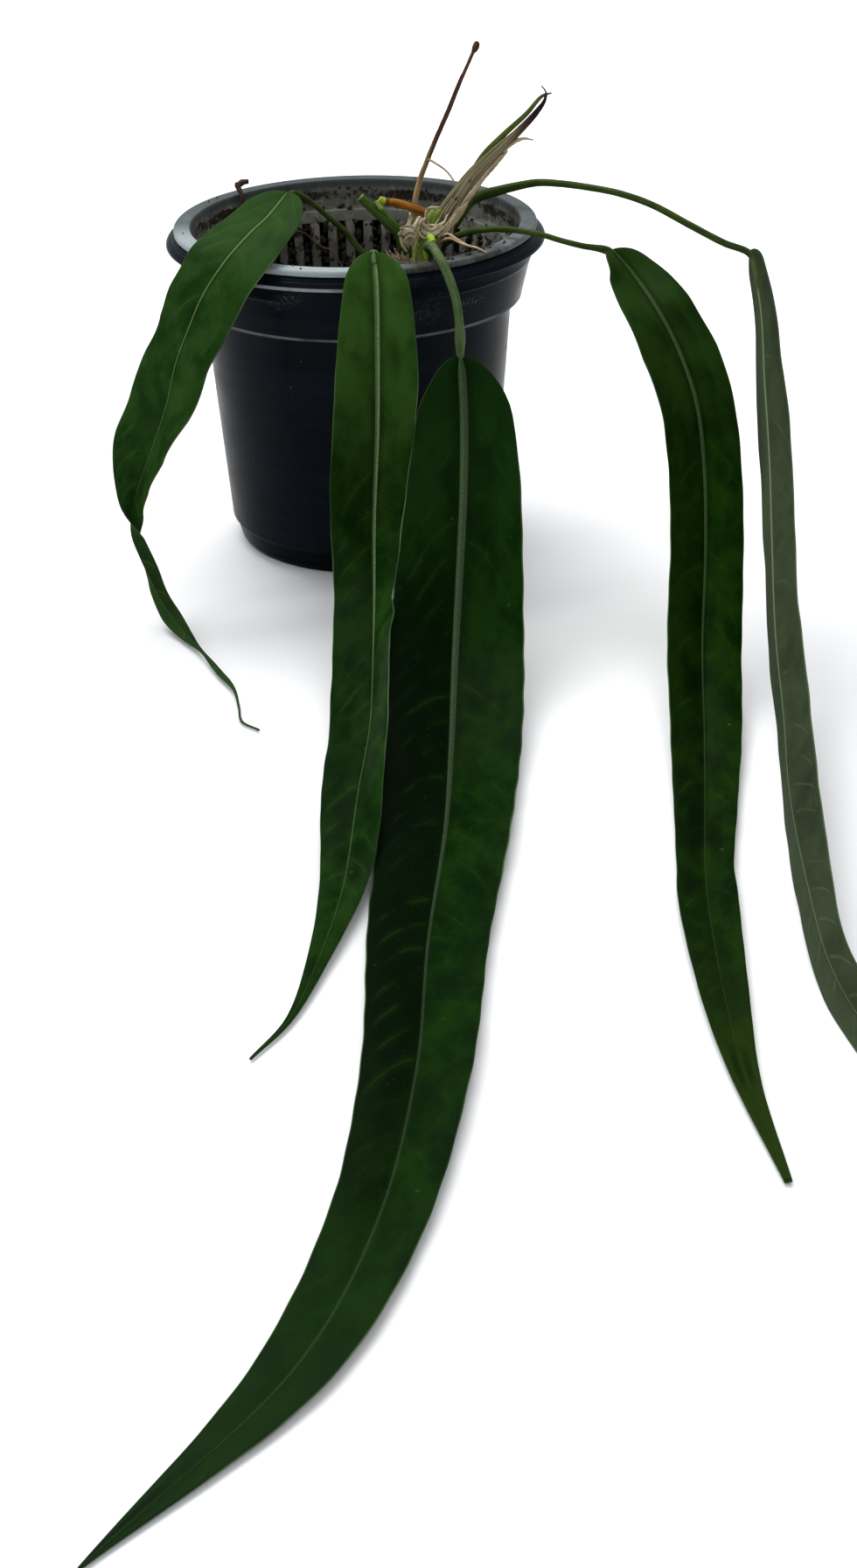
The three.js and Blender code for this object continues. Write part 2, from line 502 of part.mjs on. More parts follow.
// The crown: a short upright stem with the green stubs that were cut back to it,
// and a plain socket round each petiole and stalk that grows out of it
function crownStem(grow = 0) {
  const [x, y] = CROWN_AXIS;
  const route = [[x - 2, y, CROWN_FOOT_Z], [x - 1, y, 120], [x, y, 134], [x + 2, y + 1, CROWN_TOP_Z]];
  const radii = [CROWN_RADIUS - 1, CROWN_RADIUS, CROWN_RADIUS, CROWN_RADIUS - 3.4];
  return solidOf(stem(route, radii, 12, 8, radii, grow));
}

// A petiole's tube, or the plain socket that it stands in
function petioleSolid(leaf, grow = 0) {
  const steps = Math.round(leaf.petiole.length * 1.6);
  return solidOf(stem(leaf.petiole, leaf.petioleRadii, 8, steps, leaf.petioleRadii, grow));
}

// The green stubs left where two petioles and a stem were cut
function cutStubs(grow = 0) {
  const stub = solidOf(stem(CUT_PETIOLE, CUT_PETIOLE_RADII, 8, 9, CUT_PETIOLE_RADII, grow));
  const spur = solidOf(stem(CUT_PETIOLE_SPUR, CUT_PETIOLE_SPUR_RADII, 6, 4, CUT_PETIOLE_SPUR_RADII, grow));
  const stump = solidOf(stem(CUT_STUMP, CUT_STUMP_RADII, 8, 2, CUT_STUMP_RADII, grow));
  return stub.add(spur).add(stump);
}

function flowerStalk(grow = 0) {
  const stalk = solidOf(stem(FLOWER_STALK, FLOWER_STALK_RADII, 7, 14, FLOWER_STALK_RADII, grow));
  const tendrilRadii = FLOWER_TENDRIL.map(() => 0.5);
  return stalk.add(solidOf(stem(FLOWER_TENDRIL, tendrilRadii, 5, 4, tendrilRadii, grow)));
}

function sideShoot(grow = 0) {
  return solidOf(stem(SIDE_SHOOT, SIDE_SHOOT_RADII, 7, 8, SIDE_SHOOT_RADII, grow));
}

function newLeaf(grow = 0) {
  return solidOf(stem(NEW_LEAF, NEW_LEAF_RADII, 7, 12, NEW_LEAF_RADII, grow));
}

function dryRoot(grow = 0) {
  return solidOf(stem(DRY_ROOT, DRY_ROOT_RADII, 6, 12, DRY_ROOT_RADII, grow));
}

// The dead sheath: a flattened tapering roll with a curled second tip and, at its foot,
// torn papery shreds that lie over the crown
function sheathRoll(grow = 0) {
  return solidOf(stem(SHEATH, SHEATH_HALF_DEPTHS, 10, 16, SHEATH_HALF_WIDTHS, grow));
}

function drySheath() {
  let sheath = sheathRoll().add(solidOf(stem(SHEATH_CURL, SHEATH_CURL_HALF_WIDTHS, 6, 5)));
  for (const shred of SHREDS) {
    sheath = sheath.add(solidOf(stem(shred, SHRED_HALF_DEPTHS, 6, 5, SHRED_HALF_WIDTHS)));
  }
  const { leaf_3: front, leaf_4: right, leaf_5: back } = LEAVES;
  sheath = sheath.subtract(crownStem(FIT_GAP)).subtract(cutStubs(FIT_GAP));
  for (const leaf of [front, right, back]) {
    sheath = sheath.subtract(petioleSolid(leaf, FIT_GAP));
  }
  for (const neighbour of [sideShoot, newLeaf, flowerStalk, dryRoot]) {
    sheath = sheath.subtract(neighbour(FIT_GAP));
  }
  return sheath;
}

function thinRoot(grow = 0) {
  const radii = THIN_ROOT.map(() => THIN_ROOT_RADIUS);
  return solidOf(stem(THIN_ROOT, radii, 6, 16, radii, grow));
}

function barkChunk(grow = 0) {
  const chunk = new THREE.IcosahedronGeometry(0.5, 1);
  const random = seeded(11);
  chunk.deleteAttribute('normal');
  chunk.deleteAttribute('uv');
  const place = mergeVertices(chunk);
  const spots = place.attributes.position;
  for (let i = 0; i < spots.count; i += 1) {
    const stretch = 0.8 + random() * 0.35;
    spots.setXYZ(i, spots.getX(i) * stretch, spots.getY(i) * stretch, spots.getZ(i) * stretch);
  }
  place.scale(...BARK_CHUNK_SIZE.map((size) => size + grow * 2));
  place.rotateY(-0.25).rotateZ(0.2).translate(...BARK_CHUNK_PLACE);
  return solidOf(place);
}

// A fan of dead root fibres standing in the mix beside the crown
function fibreTuft(grow = 0) {
  const [x, y, z] = FIBRE_ROOT;
  const clump = [[x, y, z - 3], [x - 0.8, y, z + 2], [x - 1.6, y, z + 5]];
  const clumpRadii = [2.4, 2.2, 1];
  let tuft = solidOf(stem(clump, clumpRadii, 7, 3, clumpRadii, grow));
  for (const [tx, ty, tz] of FIBRE_TIPS) {
    const bend = [(x + tx) / 2 + 0.8, (y + ty) / 2, (z + tz) / 2 + 1.6];
    const radii = [0.9, 0.8, 0.45];
    tuft = tuft.add(solidOf(stem([[x - 0.6, y, z + 1.4], bend, [tx, ty, tz]], radii, 5, 4, radii, grow)));
  }
  return tuft;
}

function crown() {
  let body = crownStem().add(cutStubs());
  const socketGap = FIT_GAP + 0.1;
  for (const leaf of Object.values(LEAVES)) {
    body = body.subtract(petioleSolid(leaf, socketGap));
  }
  for (const grown of [sheathRoll, sideShoot, flowerStalk, newLeaf, dryRoot]) {
    body = body.subtract(grown(socketGap));
  }
  return body;
}

const FINISHES = {
  black: { color: 0x11161b, roughness: 0.32, metalness: 0 },
  grey: { color: 0x8f979b, roughness: 0.55, metalness: 0 },
  soil: { color: 0x2b211b, roughness: 0.95, metalness: 0 },
  leaf: { color: 0x24411f, roughness: 0.45, metalness: 0 },
  stalk: { color: 0x4f6f2c, roughness: 0.5, metalness: 0 },
  straw: { color: 0xa8956a, roughness: 0.8, metalness: 0 },
  shoot: { color: 0x9a5a1c, roughness: 0.6, metalness: 0 },
  bark: { color: 0x5b4030, roughness: 0.9, metalness: 0 },
};

function piece(name, solid, finish) {
  const mesh = new THREE.Mesh(geometryOfSolid(solid), new THREE.MeshStandardMaterial(FINISHES[finish]));
  mesh.name = name;
  return mesh;
}

const plant = new THREE.Group();
plant.add(piece('outer_pot', outerPot(), 'black'));
plant.add(piece('liner_pot', linerPot(), 'grey'));
plant.add(piece('potting_mix', pottingMix(), 'soil'));
plant.add(piece('crown', crown(), 'stalk'));
for (const [name, leaf] of Object.entries(LEAVES)) {
  plant.add(piece(name, leafOf(leaf), 'leaf'));
}
plant.add(piece('new_leaf', newLeaf(), 'stalk'));
plant.add(piece('dry_sheath', drySheath(), 'straw'));
plant.add(piece('flower_stalk', flowerStalk(), 'straw'));
plant.add(piece('side_shoot', sideShoot(), 'shoot'));
plant.add(piece('dry_root', dryRoot(), 'straw'));
plant.add(piece('thin_root', thinRoot(), 'straw'));
plant.add(piece('fibre_tuft', fibreTuft(), 'straw'));
plant.add(piece('bark_chunk', barkChunk(), 'bark'));
plant.add(piece('rim_twig', solidOf(stem(RIM_TWIG, RIM_TWIG_RADII, 6, 8)), 'bark'));

export default plant;
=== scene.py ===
# %% [markdown]
# # A strap-leaved anthurium in a nursery pot
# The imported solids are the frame: they give every piece its place and its size. Over
# each solid this notebook lays a finer mesh of the same form, with the veins, fibres,
# crumbs and dust that a real plant and a used pot have. Everything is in metres, with
# the pot's axis at the origin and the leaves lying towards -Y.

# %% Load the frame
import math
import random

import bmesh
import bpy
import numpy as np
from mathutils import Matrix, Vector, noise


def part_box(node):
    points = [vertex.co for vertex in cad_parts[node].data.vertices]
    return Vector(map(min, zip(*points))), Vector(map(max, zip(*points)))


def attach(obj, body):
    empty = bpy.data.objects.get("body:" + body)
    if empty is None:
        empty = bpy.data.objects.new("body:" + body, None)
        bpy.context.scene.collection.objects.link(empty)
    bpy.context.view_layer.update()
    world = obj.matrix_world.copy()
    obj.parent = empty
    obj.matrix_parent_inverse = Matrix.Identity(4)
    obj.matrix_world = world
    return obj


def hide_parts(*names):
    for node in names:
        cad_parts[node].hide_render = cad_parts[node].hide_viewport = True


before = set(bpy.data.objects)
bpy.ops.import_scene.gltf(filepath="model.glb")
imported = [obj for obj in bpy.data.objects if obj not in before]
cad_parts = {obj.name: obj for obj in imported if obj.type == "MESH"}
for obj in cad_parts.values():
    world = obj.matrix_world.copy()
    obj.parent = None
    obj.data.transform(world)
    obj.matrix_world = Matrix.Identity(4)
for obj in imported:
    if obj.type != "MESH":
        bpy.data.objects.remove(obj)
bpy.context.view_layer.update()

MM = 0.001

# %% [markdown]
# ## The camera
# The photograph looks down on the pot from the front, a little right of its axis, with
# the long leaves running towards the viewer. A camera can be matched by eye or worked
# out. This one was worked out from the ellipse of the rim, the collar and the base:
# it is tilted 28 degrees down and rolled by about one degree.

# %% Camera
VIEW_PLACE = (0.0272, -1.074, 0.4334)
VIEW_TILT_DOWN = 28.01
VIEW_ROLL = -1.2
PHOTO_HEIGHT_PIXELS = 1793
FOCAL_PIXELS = 2800
SENSOR_MM = 36

view_data = bpy.data.cameras.new("view")
view_data.sensor_width = SENSOR_MM
view_data.lens = SENSOR_MM * FOCAL_PIXELS / PHOTO_HEIGHT_PIXELS
view = bpy.data.objects.new("view", view_data)
bpy.context.scene.collection.objects.link(view)
view.matrix_world = (
    Matrix.Translation(VIEW_PLACE)
    @ Matrix.Rotation(math.radians(90 - VIEW_TILT_DOWN), 4, "X")
    @ Matrix.Rotation(math.radians(VIEW_ROLL), 4, "Z")
)
bpy.context.scene.camera = view
print("lens", round(view_data.lens, 2), "mm")

# %% [markdown]
# ## Nodes written as sums
# A material is a tree of nodes. Wiring one by hand takes many lines, so a small class
# wraps the output of a node, and adding or multiplying two of them adds the Math node
# that does it. The same class serves the trees of Geometry Nodes.

# %% A socket that can be added and multiplied
def feed(tree, socket, value):
    if isinstance(value, Output):
        tree.links.new(value.socket, socket)
    elif socket.type == "RGBA" and len(value) == 3:
        socket.default_value = (*value, 1)
    else:
        socket.default_value = value


class Output:
    """The output of a node. Arithmetic on it adds Math nodes to its tree."""

    def __init__(self, tree, socket):
        self.tree = tree
        self.socket = socket

    def other(self, name):
        return Output(self.tree, self.socket.node.outputs[name])

    def math(self, operation, *values):
        node = self.tree.nodes.new("ShaderNodeMath")
        node.operation = operation
        for socket, value in zip(node.inputs, values):
            feed(self.tree, socket, value)
        return Output(self.tree, node.outputs[0])

    def __add__(self, other):
        return self.math("ADD", self, other)

    def __sub__(self, other):
        return self.math("SUBTRACT", self, other)

    def __rsub__(self, other):
        return self.math("SUBTRACT", other, self)

    def __mul__(self, other):
        return self.math("MULTIPLY", self, other)

    def __truediv__(self, other):
        return self.math("DIVIDE", self, other)

    __radd__ = __add__
    __rmul__ = __mul__

    def size(self):
        return self.math("ABSOLUTE", self)

    def fraction(self):
        return self.math("FRACT", self)

    def over(self, limit):
        return self.math("GREATER_THAN", self, limit)


# %% A tree that takes any node in one line
class Tree:
    """A node tree. node() adds any node: first its settings, then its sockets."""

    def __init__(self, tree):
        self.tree = tree

    def node(self, kind, settings=None, sockets=None, output=0):
        node = self.tree.nodes.new(kind)
        for name, value in (settings or {}).items():
            setattr(node, name, value)
        for name, value in (sockets or {}).items():
            feed(self.tree, node.inputs[name], value)
        return Output(self.tree, node.outputs[output])


# %% [markdown]
# ## A finish
# Every finish here is one Principled shader with noise and masks in front of it. What
# changes over the surface feeds the base colour, the roughness and a bump. The rest,
# such as how strongly the surface mirrors, is a plain number on the shader.

# %% Finish
class Finish(Tree):
    """A material being mixed. Its patterns read the piece's own place in metres."""

    def __init__(self, name, shine=0.5):
        self.material = bpy.data.materials.new(name)
        self.material.use_nodes = True
        super().__init__(self.material.node_tree)
        self.shader = self.tree.nodes["Principled BSDF"]
        self.shader.inputs["Specular IOR Level"].default_value = shine
        self.place = self.node("ShaderNodeTexCoord", output="Object")

    def noise(self, scale, detail, roughness, at=None, stretch=None):
        vector = at or self.place
        if stretch:
            vector = self.node("ShaderNodeMapping", sockets={"Vector": vector, "Scale": stretch})
        return self.node(
            "ShaderNodeTexNoise",
            sockets={"Vector": vector, "Scale": scale, "Detail": detail, "Roughness": roughness},
        )

    def cells(self, scale):
        return self.node("ShaderNodeTexVoronoi", sockets={"Vector": self.place, "Scale": scale})

    def value(self, attribute):
        return self.node("ShaderNodeAttribute", {"attribute_name": attribute}, output="Fac")

    def axis(self, letter, at=None):
        return self.node("ShaderNodeSeparateXYZ", sockets={0: at or self.place}, output=letter)

    def azimuth(self):
        """The angle about the pot's axis, in radians, -pi/2 at the photographed front."""
        x, y = self.axis("X"), self.axis("Y")
        return y.math("ARCTAN2", y, x)

    def join(self, x, y, z):
        return self.node("ShaderNodeCombineXYZ", sockets={"X": x, "Y": y, "Z": z})

    def step(self, value, start, end, low=0.0, high=1.0):
        """A soft step: low where value is at start, high where it reaches end."""
        return self.node(
            "ShaderNodeMapRange", {"interpolation_type": "SMOOTHSTEP"},
            {"Value": value, "From Min": start, "From Max": end, "To Min": low, "To Max": high},
        )

    def mix(self, share, first, second):
        return self.node(
            "ShaderNodeMix", {"data_type": "RGBA"}, {0: share, 6: first, 7: second}, output=2,
        )

    def specks(self, scale, rarity, size):
        """Sparse round specks: a share of the cells, given by rarity, has one."""
        cell = self.cells(scale)
        chosen = self.axis("X", cell.other("Color"))
        return self.step(cell, size, size * 0.4) * self.step(chosen, rarity, rarity + 0.02)

    def finish(self, colour, roughness, height=None, relief=0.0002, strength=0.6):
        feed(self.tree, self.shader.inputs["Base Color"], colour)
        feed(self.tree, self.shader.inputs["Roughness"], roughness)
        if height is not None:
            bump = self.node(
                "ShaderNodeBump",
                sockets={"Strength": strength, "Distance": relief, "Height": height},
            )
            feed(self.tree, self.shader.inputs["Normal"], bump)
        return self.material


# %% [markdown]
# ## Geometry Nodes as a tool
# What repeats, or follows a path, is made by a tree of Geometry Nodes that is built
# here in the script. The tree has named inputs, it is run once on a source mesh, and
# the result is kept as a plain mesh, so that nothing in the model stays live.

# %% A Geometry Nodes tree and the call that runs it
class Grower(Tree):
    """A Geometry Nodes tree with named inputs, one of them the finish it sets."""

    def __init__(self, name, **inputs):
        super().__init__(bpy.data.node_groups.new(name, "GeometryNodeTree"))
        sockets = self.tree.interface
        sockets.new_socket("Geometry", in_out="INPUT", socket_type="NodeSocketGeometry")
        sockets.new_socket("Geometry", in_out="OUTPUT", socket_type="NodeSocketGeometry")
        self.identifiers = {}
        for label, kind in {**inputs, "Finish": "Material"}.items():
            item = sockets.new_socket(label, in_out="INPUT", socket_type="NodeSocket" + kind)
            self.identifiers[label] = item.identifier
        self.entry = self.tree.nodes.new("NodeGroupInput")

    def input(self, label):
        return Output(self.tree, self.entry.outputs[label])

    def close(self, geometry):
        real = self.node("GeometryNodeRealizeInstances", sockets={"Geometry": geometry})
        painted = self.node(
            "GeometryNodeSetMaterial",
            sockets={"Geometry": real, "Material": self.input("Finish")},
        )
        end = self.tree.nodes.new("NodeGroupOutput")
        self.tree.links.new(painted.socket, end.inputs["Geometry"])

    def run(self, name, source, **values):
        """Grows the tree on source, which is used up, and returns a plain mesh object."""
        modifier = source.modifiers.new("grow", "NODES")
        modifier.node_group = self.tree
        for label, value in values.items():
            modifier[self.identifiers[label]] = value
        shaped = source.evaluated_get(bpy.context.evaluated_depsgraph_get())
        mesh = bpy.data.meshes.new_from_object(shaped)
        mesh.name = name
        source.modifiers.remove(modifier)
        bpy.data.objects.remove(source)
        return show(name, mesh)


# %% [markdown]
# ## Placing a piece
# Each finished piece is one object at the origin, with its place in its mesh. It
# rides on the plant's only body and stands for the solid that it was laid over.

# %% Show and place
def show(name, mesh):
    piece = bpy.data.objects.new(name, mesh)
    bpy.context.scene.collection.objects.link(piece)
    return piece


def mesh_of(name, points, faces):
    mesh = bpy.data.meshes.new(name)
    mesh.from_pydata([tuple(p) for p in points], [], faces)
    mesh.validate()
    mesh.polygons.foreach_set("use_smooth", [True] * len(mesh.polygons))
    return mesh


def add_values(mesh, **columns):
    """Keeps one number for each point under each name, for a finish or a tree to read."""
    for name, values in columns.items():
        attribute = mesh.attributes.new(name, "FLOAT", "POINT")
        attribute.data.foreach_set("value", np.asarray(values, dtype=np.float32))


def place(piece, slot, *nodes, finish=None):
    if finish is not None:
        piece.data.materials.clear()
        piece.data.materials.append(finish)
    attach(piece, "root")
    if nodes:
        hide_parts(*nodes)
    piece.data.calc_loop_triangles()
    print(f"{piece.name}: {len(piece.data.loop_triangles)} triangles")


# %% [markdown]
# ## Smooth routes
# A petiole, a midrib and a root each follow a route of a few points. A curve through
# the points could be a Bezier with handles, which need setting one by one. A
# Catmull-Rom curve needs only the points, and its centripetal form never loops.

# %% Route
SPAN_STEPS = 24
HEADING_REACH = 0.4 * MM


class Route:
    """A smooth curve through points in millimetres, measured along its length."""

    def __init__(self, points):
        knots = np.array(points, dtype=float) * MM
        ends = np.vstack([2 * knots[0] - knots[1], knots, 2 * knots[-1] - knots[-2]])
        pieces, places = [], []
        for i in range(len(knots) - 1):
            t = np.linspace(0, 1, SPAN_STEPS, endpoint=False)
            pieces.append(self.span(ends[i:i + 4], t))
            places.append(i + t)
        self.points = np.vstack([*pieces, knots[-1:]])
        self.knot = np.concatenate([*places, [len(knots) - 1]])
        steps = np.linalg.norm(np.diff(self.points, axis=0), axis=1)
        self.reached = np.concatenate([[0], np.cumsum(steps)])
        self.length = self.reached[-1]

    @staticmethod
    def span(four, t):
        """The curve from the second to the third of four points, at shares t of the way."""
        a, b, c, d = four
        before, here, after = (max(np.linalg.norm(q - p), 1e-9) ** 0.5 for p, q in
                               ((a, b), (b, c), (c, d)))
        start = ((b - a) / before - (c - a) / (before + here) + (c - b) / here) * here
        end = ((c - b) / here - (d - b) / (here + after) + (d - c) / after) * here
        t = t[:, None]
        return (b + start * t + (3 * (c - b) - 2 * start - end) * t**2
                + (2 * (b - c) + start + end) * t**3)

    def at(self, distance):
        return np.stack([np.interp(distance, self.reached, self.points[:, k])
                         for k in range(3)], axis=-1)

    def heading(self, distance):
        ahead = self.at(np.minimum(distance + HEADING_REACH, self.length))
        behind = self.at(np.maximum(distance - HEADING_REACH, 0))
        return unit(ahead - behind)

    def along_knots(self, distance, values):
        """Values given at the route's points, read at distances along it."""
        knot = np.interp(distance, self.reached, self.knot)
        return np.interp(knot, np.arange(len(values)), values)


def unit(vectors):
    return vectors / np.linalg.norm(vectors, axis=-1, keepdims=True)


# %% [markdown]
# ## Closed skins
# A lathe turns a profile about the pot's axis, and a loft joins rings of points into
# a closed body. Both could be modifiers, but rings made in code can be dented and
# roughened point by point before they are joined.

# %% Loft and lathe
SHARP_CORNER = math.radians(50)
ARC_STEPS = 3
LONGEST_CUT = 0.42


def loft(name, rings):
    """A closed body through rings of equal point counts, given as an array."""
    rings = np.asarray(rings)
    count, sides = rings.shape[:2]
    points = [*rings.reshape(-1, 3), rings[0].mean(axis=0), rings[-1].mean(axis=0)]
    faces = []
    for r in range(count - 1):
        for s in range(sides):
            a, b = r * sides + s, r * sides + (s + 1) % sides
            faces.append((a, b, b + sides, a + sides))
    first, last = count * sides, count * sides + 1
    for s in range(sides):
        after = (s + 1) % sides
        faces.append((first, after, s))
        faces.append((last, (count - 1) * sides + s, (count - 1) * sides + after))
    return mesh_of(name, points, faces)


def rounded(profile, radius=0.5 * MM):
    """The profile with each corner turned into a small arc."""
    corners = [np.array(p, dtype=float) for p in profile]
    smooth = [corners[0]]
    for before, corner, after in zip(corners, corners[1:], corners[2:]):
        start = corner + fitted(before - corner, radius)
        end = corner + fitted(after - corner, radius)
        for t in np.linspace(0, 1, ARC_STEPS + 1):
            smooth.append((1 - t) ** 2 * start + 2 * t * (1 - t) * corner + t**2 * end)
    return np.array([*smooth, corners[-1]])


def fitted(step, longest):
    """A step from a corner, cut to the length wanted but kept short of its side's middle."""
    reach = np.linalg.norm(step)
    return step * min(longest / reach, LONGEST_CUT)


def lathe(name, profile, segments):
    """Turns a profile of radius and height in metres that starts and ends on the axis."""
    angles = np.linspace(0, 2 * math.pi, segments, endpoint=False)
    rings = []
    for radius, height in profile[1:-1]:
        level = np.full(segments, height)
        rings.append(np.stack([radius * np.cos(angles), radius * np.sin(angles), level], axis=-1))
    mesh = loft(name, rings)
    mesh.set_sharp_from_angle(angle=SHARP_CORNER)
    return mesh


# %% [markdown]
# ## The leaves' plan
# Each leaf has the route of its petiole, from the crown to the blade, and the route of
# its midrib, in millimetres. A station is a distance along the midrib, the half width
# there, the bank that turns the blade about its midrib and the fold that raises each
# half, in degrees. base is the length over which the rounded blade base opens, and rib
# is half the width of the midrib there. The right share narrows the right half of the
# blade where it is pressed on its neighbour.

# %% Leaf plans
LEAVES = {
    "leaf_1": {
        "petiole": [[28, -7, 126], [20, -11, 126.5], [10, -12, 129.5], [3, -11, 134],
            [-4, -11, 143], [-15, -15, 154.5], [-21, -18, 160.6], [-26, -21, 163.4],
            [-30, -27, 162.4]],
        "petiole_radii": [2.2, 1.9, 1.6, 1.4, 1.3, 1.15, 1.05, 1, 0.8],
        "midrib": [[-28, -23, 164], [-36, -39, 158], [-43, -54, 155], [-53, -72, 148],
            [-62, -82, 137], [-68, -87, 125], [-74, -90, 111], [-79, -92, 93], [-86, -93, 75],
            [-92.8, -94.2, 59], [-96.7, -95.9, 47.7], [-96.9, -98, 37.6],
            [-93.8, -100.4, 28.2], [-90, -103.5, 19.3], [-85, -109, 10.4], [-75.5, -124.5, 4],
            [-65.5, -145, 3.2], [-58, -162, 2.6], [-51, -178, 2.4], [-48, -194, 2],
            [-46, -206, 1.2], [-39, -213, 1]],
        "stations": [[0, 11.6, 7, 11], [11, 13.8, 3, 7], [27.5, 17.5, 1, 0],
            [55, 18.8, 8, -2], [82.5, 17.4, 21, -7], [110, 18.7, 23, 3], [130, 19.2, 32, 17],
            [148, 17.4, 38, 30], [164, 10.8, 47, 40], [178, 5, 60, 44], [190, 4.4, 76, 48],
            [202, 4.8, 102, 44], [213, 4.1, 130, 28], [226, 4.2, 152, 13], [241, 2.6, 160, 9],
            [252, 1.2, 164, 8], [260, 0.7, 168, 6], [272, 1.2, 174, 6], [286, 1.3, 178, 5],
            [300, 0.6, 182, 4], [336, 0.4, 186, 2]],
        "base": 16,
        "rib": 0.52,
    },
    "leaf_2": {
        "petiole": [[30, -12, 126], [24, -35, 134], [16, -58, 141.8], [10.5, -73, 148.4],
            [9, -81, 152.6], [9.3, -87, 150.5]],
        "petiole_radii": [2.2, 1.9, 1.8, 1.8, 1.7, 1],
        "midrib": [[9, -82, 154], [10, -93, 142], [10, -100, 118], [9, -109, 83], [7, -124, 53],
            [7, -162, 35], [7, -200, 28], [6, -251, 20], [2, -290, 14], [-3, -343, 5],
            [-10, -385, 3], [-19, -421, 1.6], [-30, -441, 1]],
        "stations": [[0, 10.5, 6, 12], [22, 14.7, -1, 12], [53, 17.7, -2, 12], [97, 19, -1, 13],
            [150, 16.6, -17, 16], [198, 17.9, -43, 22], [247, 18.2, -45, 21],
            [291, 13.5, -26, 18], [335, 8.8, 0, 13], [379, 4.2, 2, 10], [415, 1.4, 1, 8],
            [441, 0.4, 0, 8]],
        "right_share": [[0, 1], [55, 1], [72, 0.89], [90, 0.82], [108, 0.74], [120, 0.7],
            [136, 0.675], [148, 0.62], [157, 0.585], [164, 0.575], [173, 0.69], [186, 0.86],
            [215, 1], [441, 1]],
        "base": 15,
        "rib": 1.1,
    },
    "leaf_3": {
        "petiole": [[32, -12, 131], [31.5, -22, 138], [33, -45, 145.8], [34.4, -65, 149.6],
            [35.8, -78, 150.9], [37.5, -86, 149.8], [40.5, -91, 143.6], [42.8, -93, 135.7],
            [44, -94, 124.5], [44, -93.8, 114], [44.1, -94.6, 110.4]],
        "petiole_radii": [2.4, 2.1, 2, 1.9, 1.9, 1.9, 1.9, 1.8, 1.8, 1.7, 1.1],
        "midrib": [[44, -94, 113], [45, -106, 91], [44, -131, 67], [42, -153, 46],
            [39, -186, 21], [36, -245, 5], [33, -300, 2.2], [26, -376, 2.2], [21.5, -455, 3.5],
            [10, -526, 1.8], [-11, -585, 1.4], [-59, -651, 1]],
        "stations": [[0, 16, 10, 11], [31, 21, 5, 11], [75, 25, 5, 12], [155, 28, 6, 12],
            [248, 24.7, 1, 12], [342, 20.2, 2, 11], [435, 16, 0, 9], [528, 11.7, 0, 8],
            [584, 5.2, 0, 4], [621, 0.4, 0, 3]],
        "base": 26,
        "rib": 1.8,
    },
    "leaf_4": {
        "petiole": [[37, -8, 134.5], [43, -14, 140.4], [49, -18, 143.7], [56, -24, 146.4],
            [64.6, -31, 148.5], [73, -38, 149.2], [81.3, -43, 148.7], [88, -45, 147],
            [97.3, -45, 144.4], [109, -44, 141.5], [115, -48.5, 137.2]],
        "petiole_radii": [1.9, 1.6, 1.4, 1.3, 1.25, 1.25, 1.25, 1.25, 1.3, 1.4, 0.8],
        "midrib": [[110, -44, 142], [119, -52, 133], [128, -71, 123], [136, -85, 109],
            [142, -101, 92], [144, -118, 71], [142, -149, 46], [137, -190, 22], [133, -240, 7],
            [128, -290, 2.4], [123, -338, 2], [121, -398, 2], [122, -456, 1.6],
            [128, -509, 1.2]],
        "stations": [[0, 13.4, 5, 10], [21, 15.3, 2, 8], [52, 18, -1, 3], [94, 15.8, 1, 6],
            [146, 15.6, 12, 11], [219, 15.6, 17, 11], [292, 12.2, 4, 10], [344, 10.2, -1, 10],
            [365, 10.6, -2, 10], [427, 7.8, -3, 10], [479, 3.7, -5, 8], [521, 1.2, -6, 6]],
        "base": 9,
        "rib": 1.0,
    },
    "leaf_5": {
        "petiole": [[36, 1, 133.5], [43.7, 6, 141.6], [51.5, 17, 148.5], [57.5, 20, 150.4],
            [63.4, 21, 151.6], [72.3, 19, 154.1], [81, 13, 157], [90.6, 4, 158.7],
            [102.3, -6, 159.4], [116, -16, 158.8], [129.5, -24, 155.5], [144.6, -30, 148.4],
            [159.5, -34, 141.2], [170, -37, 137.4], [172, -46, 132],
            [172.9, -58, 123.7]],
        "petiole_radii": [2.9, 2.8, 2.6, 2.4, 2.2, 1.9, 1.7, 1.6, 1.5, 1.5, 1.5, 1.5, 1.5, 1.5,
            1.2, 0.6],
        "midrib": [[171, -35, 138], [173, -62, 121], [172, -92, 97], [171, -121, 76],
            [168, -158, 57], [164, -206, 36], [161, -256, 24], [157, -304, 17],
            [155, -359, 13.5], [156.5, -406, 7.5], [163, -438, 4.5], [175, -476, 3.4],
            [189, -510, 2.2], [203, -538, 1.2]],
        "stations": [[0, 6, 108, 10], [22, 7.6, 108, 7], [52, 11.2, 110, 7],
            [109, 13.6, 113, 10], [174, 13.6, 112, 12], [239, 14.2, 110, 13],
            [305, 14.2, 110, 14], [348, 11.4, 115, 12], [392, 8.2, 124, 6], [435, 8, 142, 8],
            [475, 6.4, 165, 8], [510, 3.6, 175, 5], [545, 0.5, 180, 4]],
        "base": 11,
        "rib": 0.5,
    },
}

# %% [markdown]
# ## A blade
# The blade is a long strap: rows across the midrib, banked and folded by the stations.
# It could be a flat plane bent by modifiers, but then its veins and its folds would
# fight. Here each row is worked out at once: the fold, a soft bulge between the side
# veins, a wavy margin, and a midrib that stands proud of both faces.

